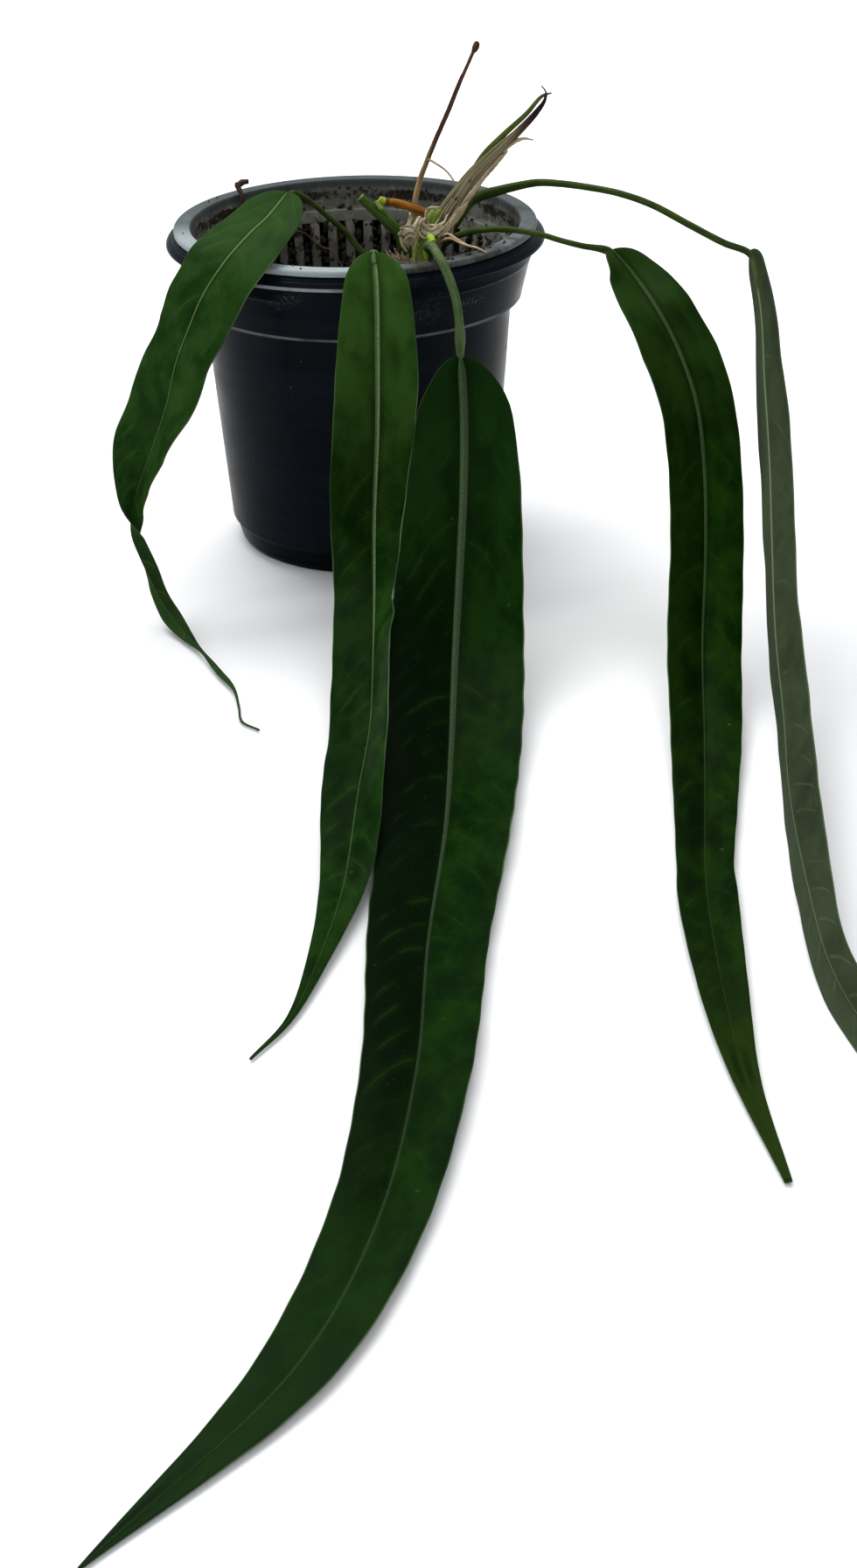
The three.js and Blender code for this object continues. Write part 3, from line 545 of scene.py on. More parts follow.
# %% Blade measures
BLADE_THICKNESS = 0.8 * MM
EDGE_THINNING = 0.5
HALF_BULGE = 0.13
NARROWEST_HALF = 0.35 * MM
BASE_ROUNDNESS = 0.998
ROW_SPACING = 2.2 * MM
RIB_RISE = 0.6 * MM
RIB_NARROWING = 0.75
RIB_NARROW_FROM = 0.6
FULL_RIB_WIDTH_FROM = 12 * MM
FULL_RIB_RISE_FROM = 6 * MM
SURFACE_CLEARANCE = 0.15 * MM
VEIN_PITCH = 17 * MM
VEIN_LEAN = 0.45
VEIN_CURVE = 1.15
PUCKER = 0.12 * MM
CALM_BASE = (20 * MM, 70 * MM)
CALM_TIP = (4 * MM, 50 * MM)
FULL_WAVE_FROM = 20 * MM
WAVE = 0.2 * MM
WAVE_LENGTH = 41 * MM
LONG_WAVE_LENGTH = 67 * MM
NICK = 0.006
NICK_LENGTH = 23 * MM
FADING_LENGTH = 93 * MM
WHOLE = [[0, 1], [1, 1]]
TURN = 2 * math.pi
COLUMNS = [0, 0.03, 0.06, 0.1, 0.16, 0.23, 0.31, 0.4, 0.5, 0.6, 0.7, 0.79, 0.87, 0.93, 0.97, 1]


def smooth_column(rows, column, position):
    """A smooth curve through one column of a table, read by the value in column 0."""
    rows = np.array(rows, dtype=float)
    x, y = rows[:, 0], rows[:, column]
    here = np.arange(len(x))
    before, after = np.maximum(here - 1, 0), np.minimum(here + 1, len(x) - 1)
    slope = (y[after] - y[before]) / (x[after] - x[before])
    i = np.clip(np.searchsorted(x, position, side="right") - 1, 0, len(x) - 2)
    h = x[i + 1] - x[i]
    u = np.clip((position - x[i]) / h, 0, 1)
    return ((2 * u**3 - 3 * u**2 + 1) * y[i] + (u**3 - 2 * u**2 + u) * h * slope[i]
            + (3 * u**2 - 2 * u**3) * y[i + 1] + (u**3 - u**2) * h * slope[i + 1])


def soft_step(value, start, end):
    share = np.clip((value - start) / (end - start), 0, 1)
    return share * share * (3 - 2 * share)


# %% The rows of a blade
def row_distances(plan, length):
    """Rows along the midrib, close together where the round base opens."""
    base = plan["base"] * MM
    opening_rows = base * (1 - np.cos(np.linspace(0, math.pi / 2, 10)[:-1]))
    row_count = int((length - base) / ROW_SPACING)
    return np.concatenate([opening_rows, np.linspace(base, length, row_count)])


def half_widths(plan, distance, station):
    opening = np.clip(1 - distance / (plan["base"] * MM), 0, 1)
    half = np.maximum(smooth_column(plan["stations"], 1, station) * MM, NARROWEST_HALF)
    return half * np.sqrt(1 - BASE_ROUNDNESS * opening**2)


def banked_axes(heading, bank):
    """The blade's own sideways and upward directions in each row."""
    level_side = unit(np.cross(heading, (0, 0, 1)))
    level_up = np.cross(level_side, heading)
    side = level_side * np.cos(bank) + level_up * np.sin(bank)
    up = level_up * np.cos(bank) - level_side * np.sin(bank)
    return side, up


# %% The waves of a blade
def waves(distance, length, half, width, place, seed):
    """How far the margin waves, how much its width varies and how far the skin puckers.

    The two halves of a blade wave out of step, and both ends of it lie calm.
    """
    draw = random.Random(seed)
    phase = [draw.uniform(0, TURN) for _ in range(4)]
    reach = np.abs(place)
    on_right = place > 0
    down = distance[:, None]
    calm_ends = soft_step(distance, *CALM_BASE) * soft_step(length - distance, *CALM_TIP)
    calm_ends = calm_ends[:, None]
    size = np.clip(half / FULL_WAVE_FROM, 0, 1)[:, None]

    ripple = np.sin(down * TURN / WAVE_LENGTH + phase[0] + 2.4 * on_right)
    ripple = ripple + 0.8 * np.sin(down * TURN / LONG_WAVE_LENGTH + phase[1] - 1.1 * on_right)
    margin_wave = WAVE * ripple * reach**3 * calm_ends * size
    nick = 1 + NICK * np.sin(down * TURN / NICK_LENGTH + phase[2]) * reach * calm_ends

    across = width * reach
    vein = (down - VEIN_LEAN * across - VEIN_CURVE * across * reach) / VEIN_PITCH
    vein = vein + 0.5 * on_right + 0.3 * ripple
    fading = 0.6 + 0.4 * np.sin(down * TURN / FADING_LENGTH + phase[3] + 2 * on_right)
    pucker = PUCKER * fading * (0.5 - np.cos(vein * TURN) * 0.5)
    pucker = pucker * soft_step(reach, 0.05, 0.25) * soft_step(1 - reach, 0, 0.2) * size
    return margin_wave, nick, pucker


# %% Blade mesh
def blade_mesh(name, plan, seed):
    route = Route(plan["midrib"])
    distance = row_distances(plan, route.length)
    station = distance / route.length * plan["stations"][-1][0]
    half = half_widths(plan, distance, station)
    bank = np.radians(smooth_column(plan["stations"], 2, station))[:, None]
    fold = np.radians(smooth_column(plan["stations"], 3, station))[:, None]
    side, up = banked_axes(route.heading(distance), bank)

    place = np.array([-c for c in COLUMNS[:0:-1]] + COLUMNS)[None, :]
    reach = np.abs(place)
    right = smooth_column(plan.get("right_share", WHOLE), 1, station)
    width = half[:, None] * np.where(place > 0, right[:, None], 1)
    margin_wave, nick, pucker = waves(distance, route.length, half, width, place, seed)

    rise = width * (np.sin(fold) * reach + HALF_BULGE * reach * (1 - reach)) + pucker + margin_wave
    sideways = place * width * nick * np.cos(fold)
    middle = route.at(distance)[:, None, :]
    skin = middle - side[:, None, :] * sideways[..., None] + up[:, None, :] * rise[..., None]

    across = width * reach
    narrowing = 1 - RIB_NARROWING * soft_step(distance / route.length, 0, RIB_NARROW_FROM)
    rib_width = plan["rib"] * MM * (narrowing * np.clip(half / FULL_RIB_WIDTH_FROM, 0.3, 1))
    rib_rise = RIB_RISE * np.clip(half / FULL_RIB_RISE_FROM, 0, 1)
    from_rib = across / rib_width[:, None]
    rib = rib_rise[:, None] * np.exp(-from_rib ** 2)
    thick = BLADE_THICKNESS / 2 * (1 - EDGE_THINNING * soft_step(reach, 0.9, 1))
    above = skin + up[:, None, :] * (thick + rib * 0.7)[..., None]
    below = skin - up[:, None, :] * (thick + rib)[..., None]
    lift = np.maximum(SURFACE_CLEARANCE - np.minimum(above[..., 2], below[..., 2]), 0)
    above[..., 2] += lift
    below[..., 2] += lift
    return blade_skin(name, above, below, distance, place, across, from_rib)


def blade_skin(name, above, below, distance, place, across, from_rib):
    """Both faces and the edge that joins them, with what the finish reads at each point."""
    rows, columns = above.shape[:2]
    count = rows * columns
    points = np.vstack([above.reshape(-1, 3), below.reshape(-1, 3)])
    faces = []
    for r in range(rows - 1):
        for c in range(columns - 1):
            a = r * columns + c
            faces.append((a, a + columns, a + columns + 1, a + 1))
            faces.append((count + a, count + a + 1, count + a + columns + 1, count + a + columns))
        left, right = r * columns, r * columns + columns - 1
        faces.append((left, count + left, count + left + columns, left + columns))
        faces.append((right, right + columns, count + right + columns, count + right))
    last = (rows - 1) * columns
    for c in range(columns - 1):
        faces.append((c, c + 1, count + c + 1, count + c))
        faces.append((last + c, count + last + c, count + last + c + 1, last + c + 1))
    mesh = mesh_of(name, points, faces)
    spread = np.broadcast_to(place, (rows, columns)).ravel()
    along = np.broadcast_to(distance[:, None], (rows, columns)).ravel()
    add_values(
        mesh,
        reach=np.tile(spread, 2),
        across=np.tile(across.ravel(), 2),
        from_rib=np.tile(from_rib.ravel(), 2),
        along=np.tile(along, 2),
        share=np.tile(along / distance[-1], 2),
        under=np.repeat([0.0, 1.0], count),
    )
    return mesh


# %% [markdown]
# ## Stems, petioles and roots
# Everything that is round and follows a route is grown by one tree of Geometry Nodes:
# a ring of points swept along the route at the width that each point of it carries,
# then roughened a little. A curve with a bevel could do this too, but the tree also
# marks the distance along the stem for the finish to read.

# %% Stem tree
stem_tree = Grower("stem_along_route", Sides="Int", Wobble="Float", Grain="Float", Seed="Float")
route_line = stem_tree.node(
    "GeometryNodeMeshToCurve", sockets={"Mesh": stem_tree.input("Geometry")},
)
route_line = stem_tree.node(
    "GeometryNodeStoreNamedAttribute", {"data_type": "FLOAT"},
    {"Geometry": route_line, "Name": "along",
     "Value": stem_tree.node("GeometryNodeSplineParameter", output="Length")},
)
ring_line = stem_tree.node(
    "GeometryNodeCurvePrimitiveCircle",
    sockets={"Resolution": stem_tree.input("Sides"), "Radius": 1.0},
)
ring_line = stem_tree.node(
    "GeometryNodeStoreNamedAttribute", {"data_type": "FLOAT"},
    {"Geometry": ring_line, "Name": "around",
     "Value": stem_tree.node("GeometryNodeSplineParameter", output="Factor")},
)
stem_width = stem_tree.node(
    "GeometryNodeInputNamedAttribute", {"data_type": "FLOAT"}, {"Name": "thick"},
)
tube = stem_tree.node(
    "GeometryNodeCurveToMesh",
    sockets={"Curve": route_line, "Profile Curve": ring_line, "Scale": stem_width,
             "Fill Caps": True},
)
roughness_noise = stem_tree.node(
    "ShaderNodeTexNoise", {"noise_dimensions": "4D"},
    {"Vector": stem_tree.node("GeometryNodeInputPosition"), "W": stem_tree.input("Seed"),
     "Scale": stem_tree.input("Grain"), "Detail": 2.0},
)
bump_size = (roughness_noise - 0.5) * stem_tree.input("Wobble")
bump_step = stem_tree.node(
    "ShaderNodeVectorMath", {"operation": "SCALE"},
    {0: stem_tree.node("GeometryNodeInputNormal"), "Scale": bump_size},
)
tube = stem_tree.node("GeometryNodeSetPosition", sockets={"Geometry": tube, "Offset": bump_step})
tube = stem_tree.node("GeometryNodeSetShadeSmooth", sockets={"Geometry": tube})
stem_tree.close(tube)


def grow_stem(name, points, radii, finish, sides=14, wobble=0.1, grain=400.0, seed=1.0,
              swell=None, spacing=1.2):
    """A stem along points in millimetres, with radii in millimetres at those points."""
    route = Route(points)
    steps = max(int(route.length / (spacing * MM)), 6)
    distance = np.linspace(0, route.length, steps + 1)
    thick = route.along_knots(distance, np.array(radii) * MM)
    if swell is not None:
        thick = thick * swell(distance, route.length)
    mesh = bpy.data.meshes.new(name + "_route")
    mesh.from_pydata(route.at(distance).tolist(), [(i, i + 1) for i in range(steps)], [])
    add_values(mesh, thick=thick)
    return stem_tree.run(
        name, show(name + "_route", mesh), Sides=sides, Wobble=wobble * MM, Grain=grain,
        Seed=seed, Finish=finish,
    )


# %% [markdown]
# ## The black outer pot
# A moulded nursery pot: a thin tapering wall that ends above an inset foot ring, a step
# out to a collar, and a lip that slopes up to the rim of the grey pot inside. It is
# turned from one profile, with its corners rounded. All measures are in millimetres.

# %% Measures of the two pots
POT_HEIGHT = 145.5
RIM_RADIUS = 80
RIM_OPENING = 72.9
LIP_RADIUS = 84.1
COLLAR_TOP_RADIUS = 78.3
COLLAR_FOOT_RADIUS = 73.7
COLLAR_FOOT = 112.9
BODY_TOP_RADIUS = 68.9
BODY_FOOT_RADIUS = 59.5
BODY_FOOT = 8
WALL_FOOT_RADIUS = 61.2
WALL_FOOT = 11.6
RING_RADIUS = 59.6
BASE_RADIUS = 56.6
WALL = 1.6
FLOOR = 3.5
LINER_WALL = 1.8
LEDGE = 132.5
LEDGE_RADIUS = 67.6
SLOTS = 50
SLOT_WIDTH = 4.1
SLOT_TOP = 127.5
SLOT_FOOT = 24
POT_SEGMENTS = 240


def body_radius(z):
    share = (z - BODY_FOOT) / (COLLAR_FOOT - BODY_FOOT)
    return BODY_FOOT_RADIUS + (BODY_TOP_RADIUS - BODY_FOOT_RADIUS) * share


def liner_radius(z):
    return body_radius(z) - WALL - 0.5


# %% Outer pot
outer_profile = [
    (0, 0), (BASE_RADIUS - 1.2, 0), (BASE_RADIUS, 0.8), (BODY_FOOT_RADIUS - 1.6, 3),
    (BODY_FOOT_RADIUS - 0.4, BODY_FOOT), (RING_RADIUS, WALL_FOOT - 1.2),
    (WALL_FOOT_RADIUS - 0.8, WALL_FOOT - 0.8), (WALL_FOOT_RADIUS, WALL_FOOT),
    (BODY_TOP_RADIUS, COLLAR_FOOT - 1.8),
    (COLLAR_FOOT_RADIUS - 0.5, COLLAR_FOOT - 0.6), (COLLAR_FOOT_RADIUS, COLLAR_FOOT),
    (COLLAR_FOOT_RADIUS + 0.1, COLLAR_FOOT + 1.2),
    (COLLAR_TOP_RADIUS - 0.6, POT_HEIGHT - 15.4), (COLLAR_TOP_RADIUS, POT_HEIGHT - 14.9),
    (COLLAR_TOP_RADIUS, POT_HEIGHT - 12.9), (COLLAR_TOP_RADIUS + 0.6, POT_HEIGHT - 8),
    (LIP_RADIUS - 0.3, POT_HEIGHT - 8), (LIP_RADIUS, POT_HEIGHT - 7.3),
    (LIP_RADIUS - 0.4, POT_HEIGHT - 6.2), (RIM_RADIUS + 2.2, POT_HEIGHT - 4.7),
    (RIM_RADIUS + 1.4, POT_HEIGHT - 4.5), (RIM_RADIUS + 1.2, POT_HEIGHT - 3.9),
    (RIM_RADIUS - 0.4, POT_HEIGHT - 3), (RIM_RADIUS - 2.6, POT_HEIGHT - 3),
    (COLLAR_TOP_RADIUS - WALL, POT_HEIGHT - 12.9),
    (COLLAR_FOOT_RADIUS - WALL, COLLAR_FOOT + 0.9),
    (BODY_TOP_RADIUS - WALL, COLLAR_FOOT - 0.6), (BODY_FOOT_RADIUS - WALL, BODY_FOOT),
    (BASE_RADIUS - WALL, FLOOR), (0, FLOOR),
]
outer_mesh = lathe("outer_pot", rounded(np.array(outer_profile) * MM, 0.6 * MM), POT_SEGMENTS)
print("outer pot", len(outer_mesh.polygons), "faces")

# %% [markdown]
# Black plastic shows its dust more than its colour. The finish is nearly black with a sheen,
# and grey dust gathers in a band on the collar. A pale line runs along the crease under the
# collar, a painted highlight lies along the bead of the lip at the front left, and the foot
# ring under the wall is painted dark as painted shade.

# %% Black plastic
COLLAR_CREASE = (COLLAR_FOOT + 0.7) * MM
LIP_BEAD = (POT_HEIGHT - 7.4) * MM
HIGHLIGHT_ANGLE = -1.98
RING_SHADE_TOP = (WALL_FOOT - 0.4) * MM

black = Finish("black_plastic_moulded", shine=0.022)
height_on_pot = black.axis("Z")
round_pot = black.azimuth()
smudge = black.noise(28, 5, 0.6, stretch=(1, 1, 2.4))
fine = black.noise(900, 3, 0.6)
rings = black.noise(330, 2, 0.5, stretch=(0.02, 0.02, 1))
streaks = black.noise(60, 3, 0.6, stretch=(1, 1, 0.12))
dust_foot = black.step(height_on_pot, (COLLAR_FOOT + 5.1) * MM, (COLLAR_FOOT + 13.1) * MM)
dust_top = black.step(height_on_pot, (POT_HEIGHT - 8.5) * MM, (POT_HEIGHT - 14.5) * MM)
dust_band = dust_foot * dust_top
dust = dust_band * black.step(smudge, 0.5, 0.72) * black.step(fine, 0.46, 0.7)
specks = black.specks(420, 0.95, 0.26) * black.step(smudge, 0.5, 0.7)
# A pale line runs round the crease under the collar.
fold_line = black.step((height_on_pot - COLLAR_CREASE).size(), 0.0008, 0.0003)
# Painted highlight: a pale streak along the bead of the lip, only at the front left.
bead_highlight = black.step((height_on_pot - LIP_BEAD).size(), 0.0011, 0.0007)
bead_highlight = bead_highlight * black.step((round_pot - HIGHLIGHT_ANGLE).size(), 0.5, 0.25)
bead_highlight = bead_highlight * black.step(streaks, 0.3, 0.6, 0.5, 1)
wear_and_highlight = dust * 0.35 + specks * 0.3 + fold_line * black.step(smudge, 0.35, 0.6, 0.12, 0.4)
wear_and_highlight = wear_and_highlight + bead_highlight * 0.85 + rings * 0.012
tone = black.mix(
    black.step(smudge, 0.35, 0.7), (0.0012, 0.003, 0.0052), (0.0022, 0.0048, 0.0078),
)
# Painted shade: the inset foot ring below the wall is darkened nearly to black.
shade_under_wall = black.step(height_on_pot, RING_SHADE_TOP, RING_SHADE_TOP - 0.8 * MM)
tone = black.mix(shade_under_wall * 0.8, tone, (0.0003, 0.0006, 0.0012))
black_plastic = black.finish(
    black.mix(wear_and_highlight, tone, (0.3, 0.31, 0.32)),
    black.step(smudge, 0.2, 0.8, 0.2, 0.36) + wear_and_highlight * 0.35,
    rings * 0.5 + fine * 0.25 + smudge * 0.6, relief=0.00012, strength=0.5,
)
place(show("outer_pot_shell", outer_mesh), "black_plastic", "outer_pot", finish=black_plastic)

# %% [markdown]
# ## The grey liner pot
# A net pot hangs by its rim inside the black one. Its rim, a ledge below it and its
# foot are turned, and its wall is a cage of upright slats. The slats are all alike, so
# one is lofted and a tree of Geometry Nodes repeats it round the axis.

# %% Liner rim and foot
shoulder = LEDGE - 4.6
rim_profile = [
    (liner_radius(SLOT_TOP), SLOT_TOP),
    (liner_radius(shoulder) + 0.4, LEDGE - 2), (RIM_OPENING + 1.2, LEDGE - 1.4),
    (RIM_OPENING + 1.8, POT_HEIGHT - 2.7), (RIM_RADIUS + 0.3, POT_HEIGHT - 2.7),
    (RIM_RADIUS + 0.4, POT_HEIGHT - 0.9), (RIM_RADIUS - 0.4, POT_HEIGHT - 0.05),
    (RIM_OPENING + 3.4, POT_HEIGHT), (RIM_OPENING + 0.4, POT_HEIGHT - 0.1),
    (RIM_OPENING, POT_HEIGHT - 1.1), (RIM_OPENING - 0.8, LEDGE + 0.4),
    (RIM_OPENING - 1.2, LEDGE), (LEDGE_RADIUS, LEDGE),
    (liner_radius(shoulder) - LINER_WALL, shoulder),
    (liner_radius(SLOT_TOP) - LINER_WALL, SLOT_TOP),
]


def turned_ring(name, profile, segments):
    """Turns a closed profile that doesn't touch the axis."""
    closed = rounded(np.array([*profile, profile[0]]) * MM)[:-1]
    angles = np.linspace(0, 2 * math.pi, segments, endpoint=False)
    points = [(r * math.cos(a), r * math.sin(a), z) for r, z in closed for a in angles]
    count = len(closed)
    faces = [
        (p * segments + s, p * segments + (s + 1) % segments,
         (p + 1) % count * segments + (s + 1) % segments, (p + 1) % count * segments + s)
        for p in range(count) for s in range(segments)
    ]
    mesh = mesh_of(name, points, faces)
    mesh.set_sharp_from_angle(angle=SHARP_CORNER)
    return mesh


foot_radius = liner_radius(SLOT_FOOT)
foot_profile = [
    (0, FLOOR + 0.3), (foot_radius - 5, FLOOR + 0.3),
    (liner_radius(BODY_FOOT) - 0.4, BODY_FOOT + 3), (foot_radius, SLOT_FOOT),
    (foot_radius - LINER_WALL, SLOT_FOOT),
    (liner_radius(BODY_FOOT) - LINER_WALL, BODY_FOOT + 3), (foot_radius - 6.8, FLOOR + 2.1),
    (0, FLOOR + 2.1),
]
rim_mesh = turned_ring("liner_rim", rim_profile, POT_SEGMENTS)
foot_mesh = lathe("liner_foot", rounded(np.array(foot_profile) * MM), 120)
print("liner rim", len(rim_mesh.polygons), "faces")

# %% One slat, repeated round the axis
def slat_mesh():
    """A slat at the angle 0, lofted upwards through twelve cross-sections."""
    rings = []
    for z in np.linspace(SLOT_FOOT - 0.4, SLOT_TOP + 0.4, 12):
        outer = liner_radius(z)
        half = math.pi * outer / SLOTS - SLOT_WIDTH / 2
        inner = outer - LINER_WALL
        section = [
            (inner + 0.5, half), (outer - 0.3, half), (outer, half - 0.4), (outer, 0.4 - half),
            (outer - 0.3, -half), (inner + 0.5, -half), (inner + 0.1, 0.6 - half), (inner, 0),
            (inner + 0.1, half - 0.6),
        ]
        rings.append([(x * MM, y * MM, z * MM) for x, y in reversed(section)])
    return loft("slat", rings)


slat_tree = Grower("copies_round_axis", Count="Int")
stand = slat_tree.node("GeometryNodePoints", sockets={"Count": slat_tree.input("Count")})
turn_step = slat_tree.node("GeometryNodeInputIndex") * (2 * math.pi) / slat_tree.input("Count")
turned = slat_tree.node(
    "FunctionNodeEulerToRotation",
    sockets={"Euler": slat_tree.node("ShaderNodeCombineXYZ", sockets={"Z": turn_step})},
)
slat_tree.close(slat_tree.node(
    "GeometryNodeInstanceOnPoints",
    sockets={"Points": stand, "Instance": slat_tree.input("Geometry"), "Rotation": turned},
))
slats = slat_tree.run("liner_slats", show("slat", slat_mesh()), Count=SLOTS)
print("slats", len(slats.data.polygons), "faces")

# %% [markdown]
# The grey plastic is matt and dirty. Its rim is scuffed, with crumbs trodden into it, and
# below the ledge the mix has left brown smears that thin out upwards. The rim is painted
# paler at the front left as painted light and darker at the back as painted shade. The
# masks are noise cut by the height on the pot and by where round the pot they lie.

# %% Grey plastic
grey = Finish("grey_plastic_scuffed", shine=0.06)
up_pot = grey.axis("Z")
blotch = grey.noise(70, 5, 0.65)
grit = grey.noise(420, 4, 0.7)
scratch = grey.noise(260, 4, 0.6, stretch=(1, 1, 0.3))
on_rim = grey.step(up_pot, (POT_HEIGHT - 5) * MM, (POT_HEIGHT - 2.3) * MM)
under_rim = grey.step((up_pot - (POT_HEIGHT - 7) * MM).size(), 0.0032, 0.001)
soiled = grey.step(blotch * 0.6 + grit * 0.4 + under_rim * 0.1, 0.53, 0.64)
turn = grey.azimuth()
dirty_rim = grey.step((turn + 0.98).size(), 0.42, 0.25) * grey.step(blotch, 0.3, 0.55, 0.35, 0.9)
soiled = soiled * (1 - on_rim * 0.85) + dirty_rim * on_rim * (1 - soiled)
dusty = grey.step(scratch, 0.45, 0.7)
wall_tone = grey.mix(dusty, (0.1, 0.1, 0.083), (0.165, 0.165, 0.14))
# Painted light: the rim is made much paler towards the front left.
front = grey.step((turn + 2.2).size(), 1.0, 0.6)
rim_tone = grey.mix(grey.step(scratch, 0.4, 0.7), (0.082, 0.096, 0.097), (0.12, 0.138, 0.139))
rim_tone = grey.mix(front, rim_tone, (0.27, 0.31, 0.32))
# Painted shade: the back of the rim is made darker.
back_shade = grey.step(grey.axis("Y"), -0.04, 0.06, 0, 0.75)
rim_tone = grey.mix(back_shade, rim_tone, (0.03, 0.036, 0.036))
clean_tone = grey.mix(on_rim, wall_tone, rim_tone)
grey_plastic = grey.finish(
    grey.mix(soiled, clean_tone, (0.02, 0.015, 0.011)),
    grey.step(scratch, 0.3, 0.7, 0.34, 0.55) + soiled * 0.35,
    blotch * 0.3 + grit * 0.35 + soiled * 0.9, relief=0.00045, strength=0.7,
)
place(show("liner_rim_and_ledge", rim_mesh), "grey_plastic", "liner_pot", finish=grey_plastic)
place(show("liner_foot", foot_mesh), "grey_plastic", "liner_pot", finish=grey_plastic)
place(slats, "grey_plastic", "liner_pot", finish=grey_plastic)

# %% [markdown]
# ## The potting mix
# Dark bark, fibre and grit, level near the wall and mounded round the crown. The body
# is a closed skin with a rough top. Loose clods, chips, pale grit and fibres lie on
# it, and dirt clings in the slots and on the ledge, so these are scattered by a tree
# that drops turned and scaled copies of one small shape on any surface.

# %% Mix body
SOIL_EDGE = 105
MOUND_CENTRE = (26, -6)
MOUND_HEIGHT = 17
MOUND_SPREAD = 24
LUMP_HEIGHT = 1.9
LUMPS_PER_MM = 0.12


def soil_height(x, y):
    far = math.hypot(x - MOUND_CENTRE[0], y - MOUND_CENTRE[1]) / MOUND_SPREAD
    return SOIL_EDGE + MOUND_HEIGHT * math.exp(-0.5 * far**2)


def soil_point(x, y):
    spot = Vector((x, y, 0)) * LUMPS_PER_MM
    lumps = noise.fractal(spot, 0.9, 2.1, 4, noise_basis="PERLIN_ORIGINAL")
    return (x * MM, y * MM, (soil_height(x, y) + LUMP_HEIGHT * lumps) * MM)


SOIL_RADIUS = liner_radius(SOIL_EDGE - 3) - LINER_WALL - 0.9
SOIL_SIDES = 120


def soil_ring(radius, level=None):
    """A ring of points: flat at the level given, or else rough on top of the mix."""
    angles = np.linspace(0, 2 * math.pi, SOIL_SIDES, endpoint=False)
    ring = [(radius * math.cos(a), radius * math.sin(a)) for a in angles]
    if level is not None:
        return [(x * MM, y * MM, level * MM) for x, y in ring]
    return [soil_point(x, y) for x, y in ring]


soil_rings = [
    soil_ring(liner_radius(BODY_FOOT) - 8.7, FLOOR + 2.8),
    soil_ring(liner_radius(BODY_FOOT) - 3.3, BODY_FOOT + 4),
    *[soil_ring(SOIL_RADIUS * share) for share in np.linspace(1, 0.02, 44)],
]
soil_mesh = loft("potting_mix", soil_rings)
print("mix", len(soil_mesh.polygons), "faces")

# %% Mix finish
mix = Finish("potting_mix_damp", shine=0.35)
clump = mix.noise(190, 6, 0.7)
grain = mix.cells(520)
dark_mix = mix.mix(mix.step(clump, 0.35, 0.7), (0.0045, 0.0035, 0.003), (0.032, 0.021, 0.014))
mix_finish = mix.finish(
    mix.mix(mix.specks(300, 0.88, 0.35), dark_mix, (0.1, 0.07, 0.045)),
    mix.step(clump, 0.3, 0.7, 0.7, 0.95), clump + grain * 0.6, relief=0.0016, strength=0.9,
)
place(show("mix_body", soil_mesh), "mix", "potting_mix", finish=mix_finish)

# %% Scatter tree
scatter_tree = Grower(
    "scatter_over_surface", Shape="Object", Density="Float", Smallest="Float", Largest="Float",
    Tilt="Float", Seed="Int",
)
dropped = scatter_tree.node(
    "GeometryNodeDistributePointsOnFaces",
    sockets={"Mesh": scatter_tree.input("Geometry"), "Density": scatter_tree.input("Density"),
             "Seed": scatter_tree.input("Seed")},
)
tilt = scatter_tree.input("Tilt")
least_turn = scatter_tree.node(
    "ShaderNodeCombineXYZ", sockets={"X": 0 - tilt, "Y": 0 - tilt, "Z": -math.pi},
)
most_turn = scatter_tree.node(
    "ShaderNodeCombineXYZ", sockets={"X": tilt, "Y": tilt, "Z": math.pi},
)
random_turn = scatter_tree.node(
    "FunctionNodeRandomValue", {"data_type": "FLOAT_VECTOR"},
    {0: least_turn, 1: most_turn, "Seed": scatter_tree.input("Seed")},
)
random_turn = scatter_tree.node("FunctionNodeEulerToRotation", sockets={"Euler": random_turn})
laid = scatter_tree.node(
    "FunctionNodeRotateRotation", {"rotation_space": "LOCAL"},
    {"Rotation": dropped.other("Rotation"), "Rotate By": random_turn},
)
random_size = scatter_tree.node(
    "FunctionNodeRandomValue", {"data_type": "FLOAT_VECTOR"},
    {0: scatter_tree.input("Smallest"), 1: scatter_tree.input("Largest"),
     "Seed": scatter_tree.input("Seed") + 1},
)
shape_of = scatter_tree.node(
    "GeometryNodeObjectInfo", sockets={"Object": scatter_tree.input("Shape")}, output="Geometry",
)
scatter_tree.close(scatter_tree.node(
    "GeometryNodeInstanceOnPoints",
    sockets={"Points": dropped, "Instance": shape_of, "Rotation": laid, "Scale": random_size},
))

# %% Small shapes to scatter
def pebble(name, dent, seed, squash=(1, 1, 1)):
    """A rough lump about one unit across."""
    shape = bmesh.new()
    bmesh.ops.create_icosphere(shape, subdivisions=2, radius=0.5)
    for vertex in shape.verts:
        push = noise.noise(vertex.co * 2.3 + Vector((seed, 0, 0)))
        vertex.co = Vector(a * b for a, b in zip(vertex.co * (1 + dent * push), squash))
    mesh = bpy.data.meshes.new(name)
    shape.to_mesh(mesh)
    shape.free()
    return show(name, mesh)


def fibre(name, bend, seed):
    """A thin curved thread one unit long, lying in its own XY plane."""
    draw = random.Random(seed)
    rings = []
    for t in np.linspace(0, 1, 7):
        centre = Vector((t - 0.5, bend * math.sin(t * math.pi) + draw.uniform(-0.02, 0.02),
                         draw.uniform(0, 0.05)))
        radius = 0.022 * (1.1 - 0.7 * t)
        rings.append([(centre.x, centre.y + radius * math.cos(a), centre.z + radius * math.sin(a))
                      for a in (0, 2.1, 4.2)])
    return show(name, loft(name, rings))


clod = pebble("clod_shape", 0.7, 3)
chip = pebble("chip_shape", 0.8, 8, (1, 0.55, 0.3))
thread = fibre("thread_shape", 0.22, 5)


PATCH_ROWS = 6
PATCH_COLUMNS = 60


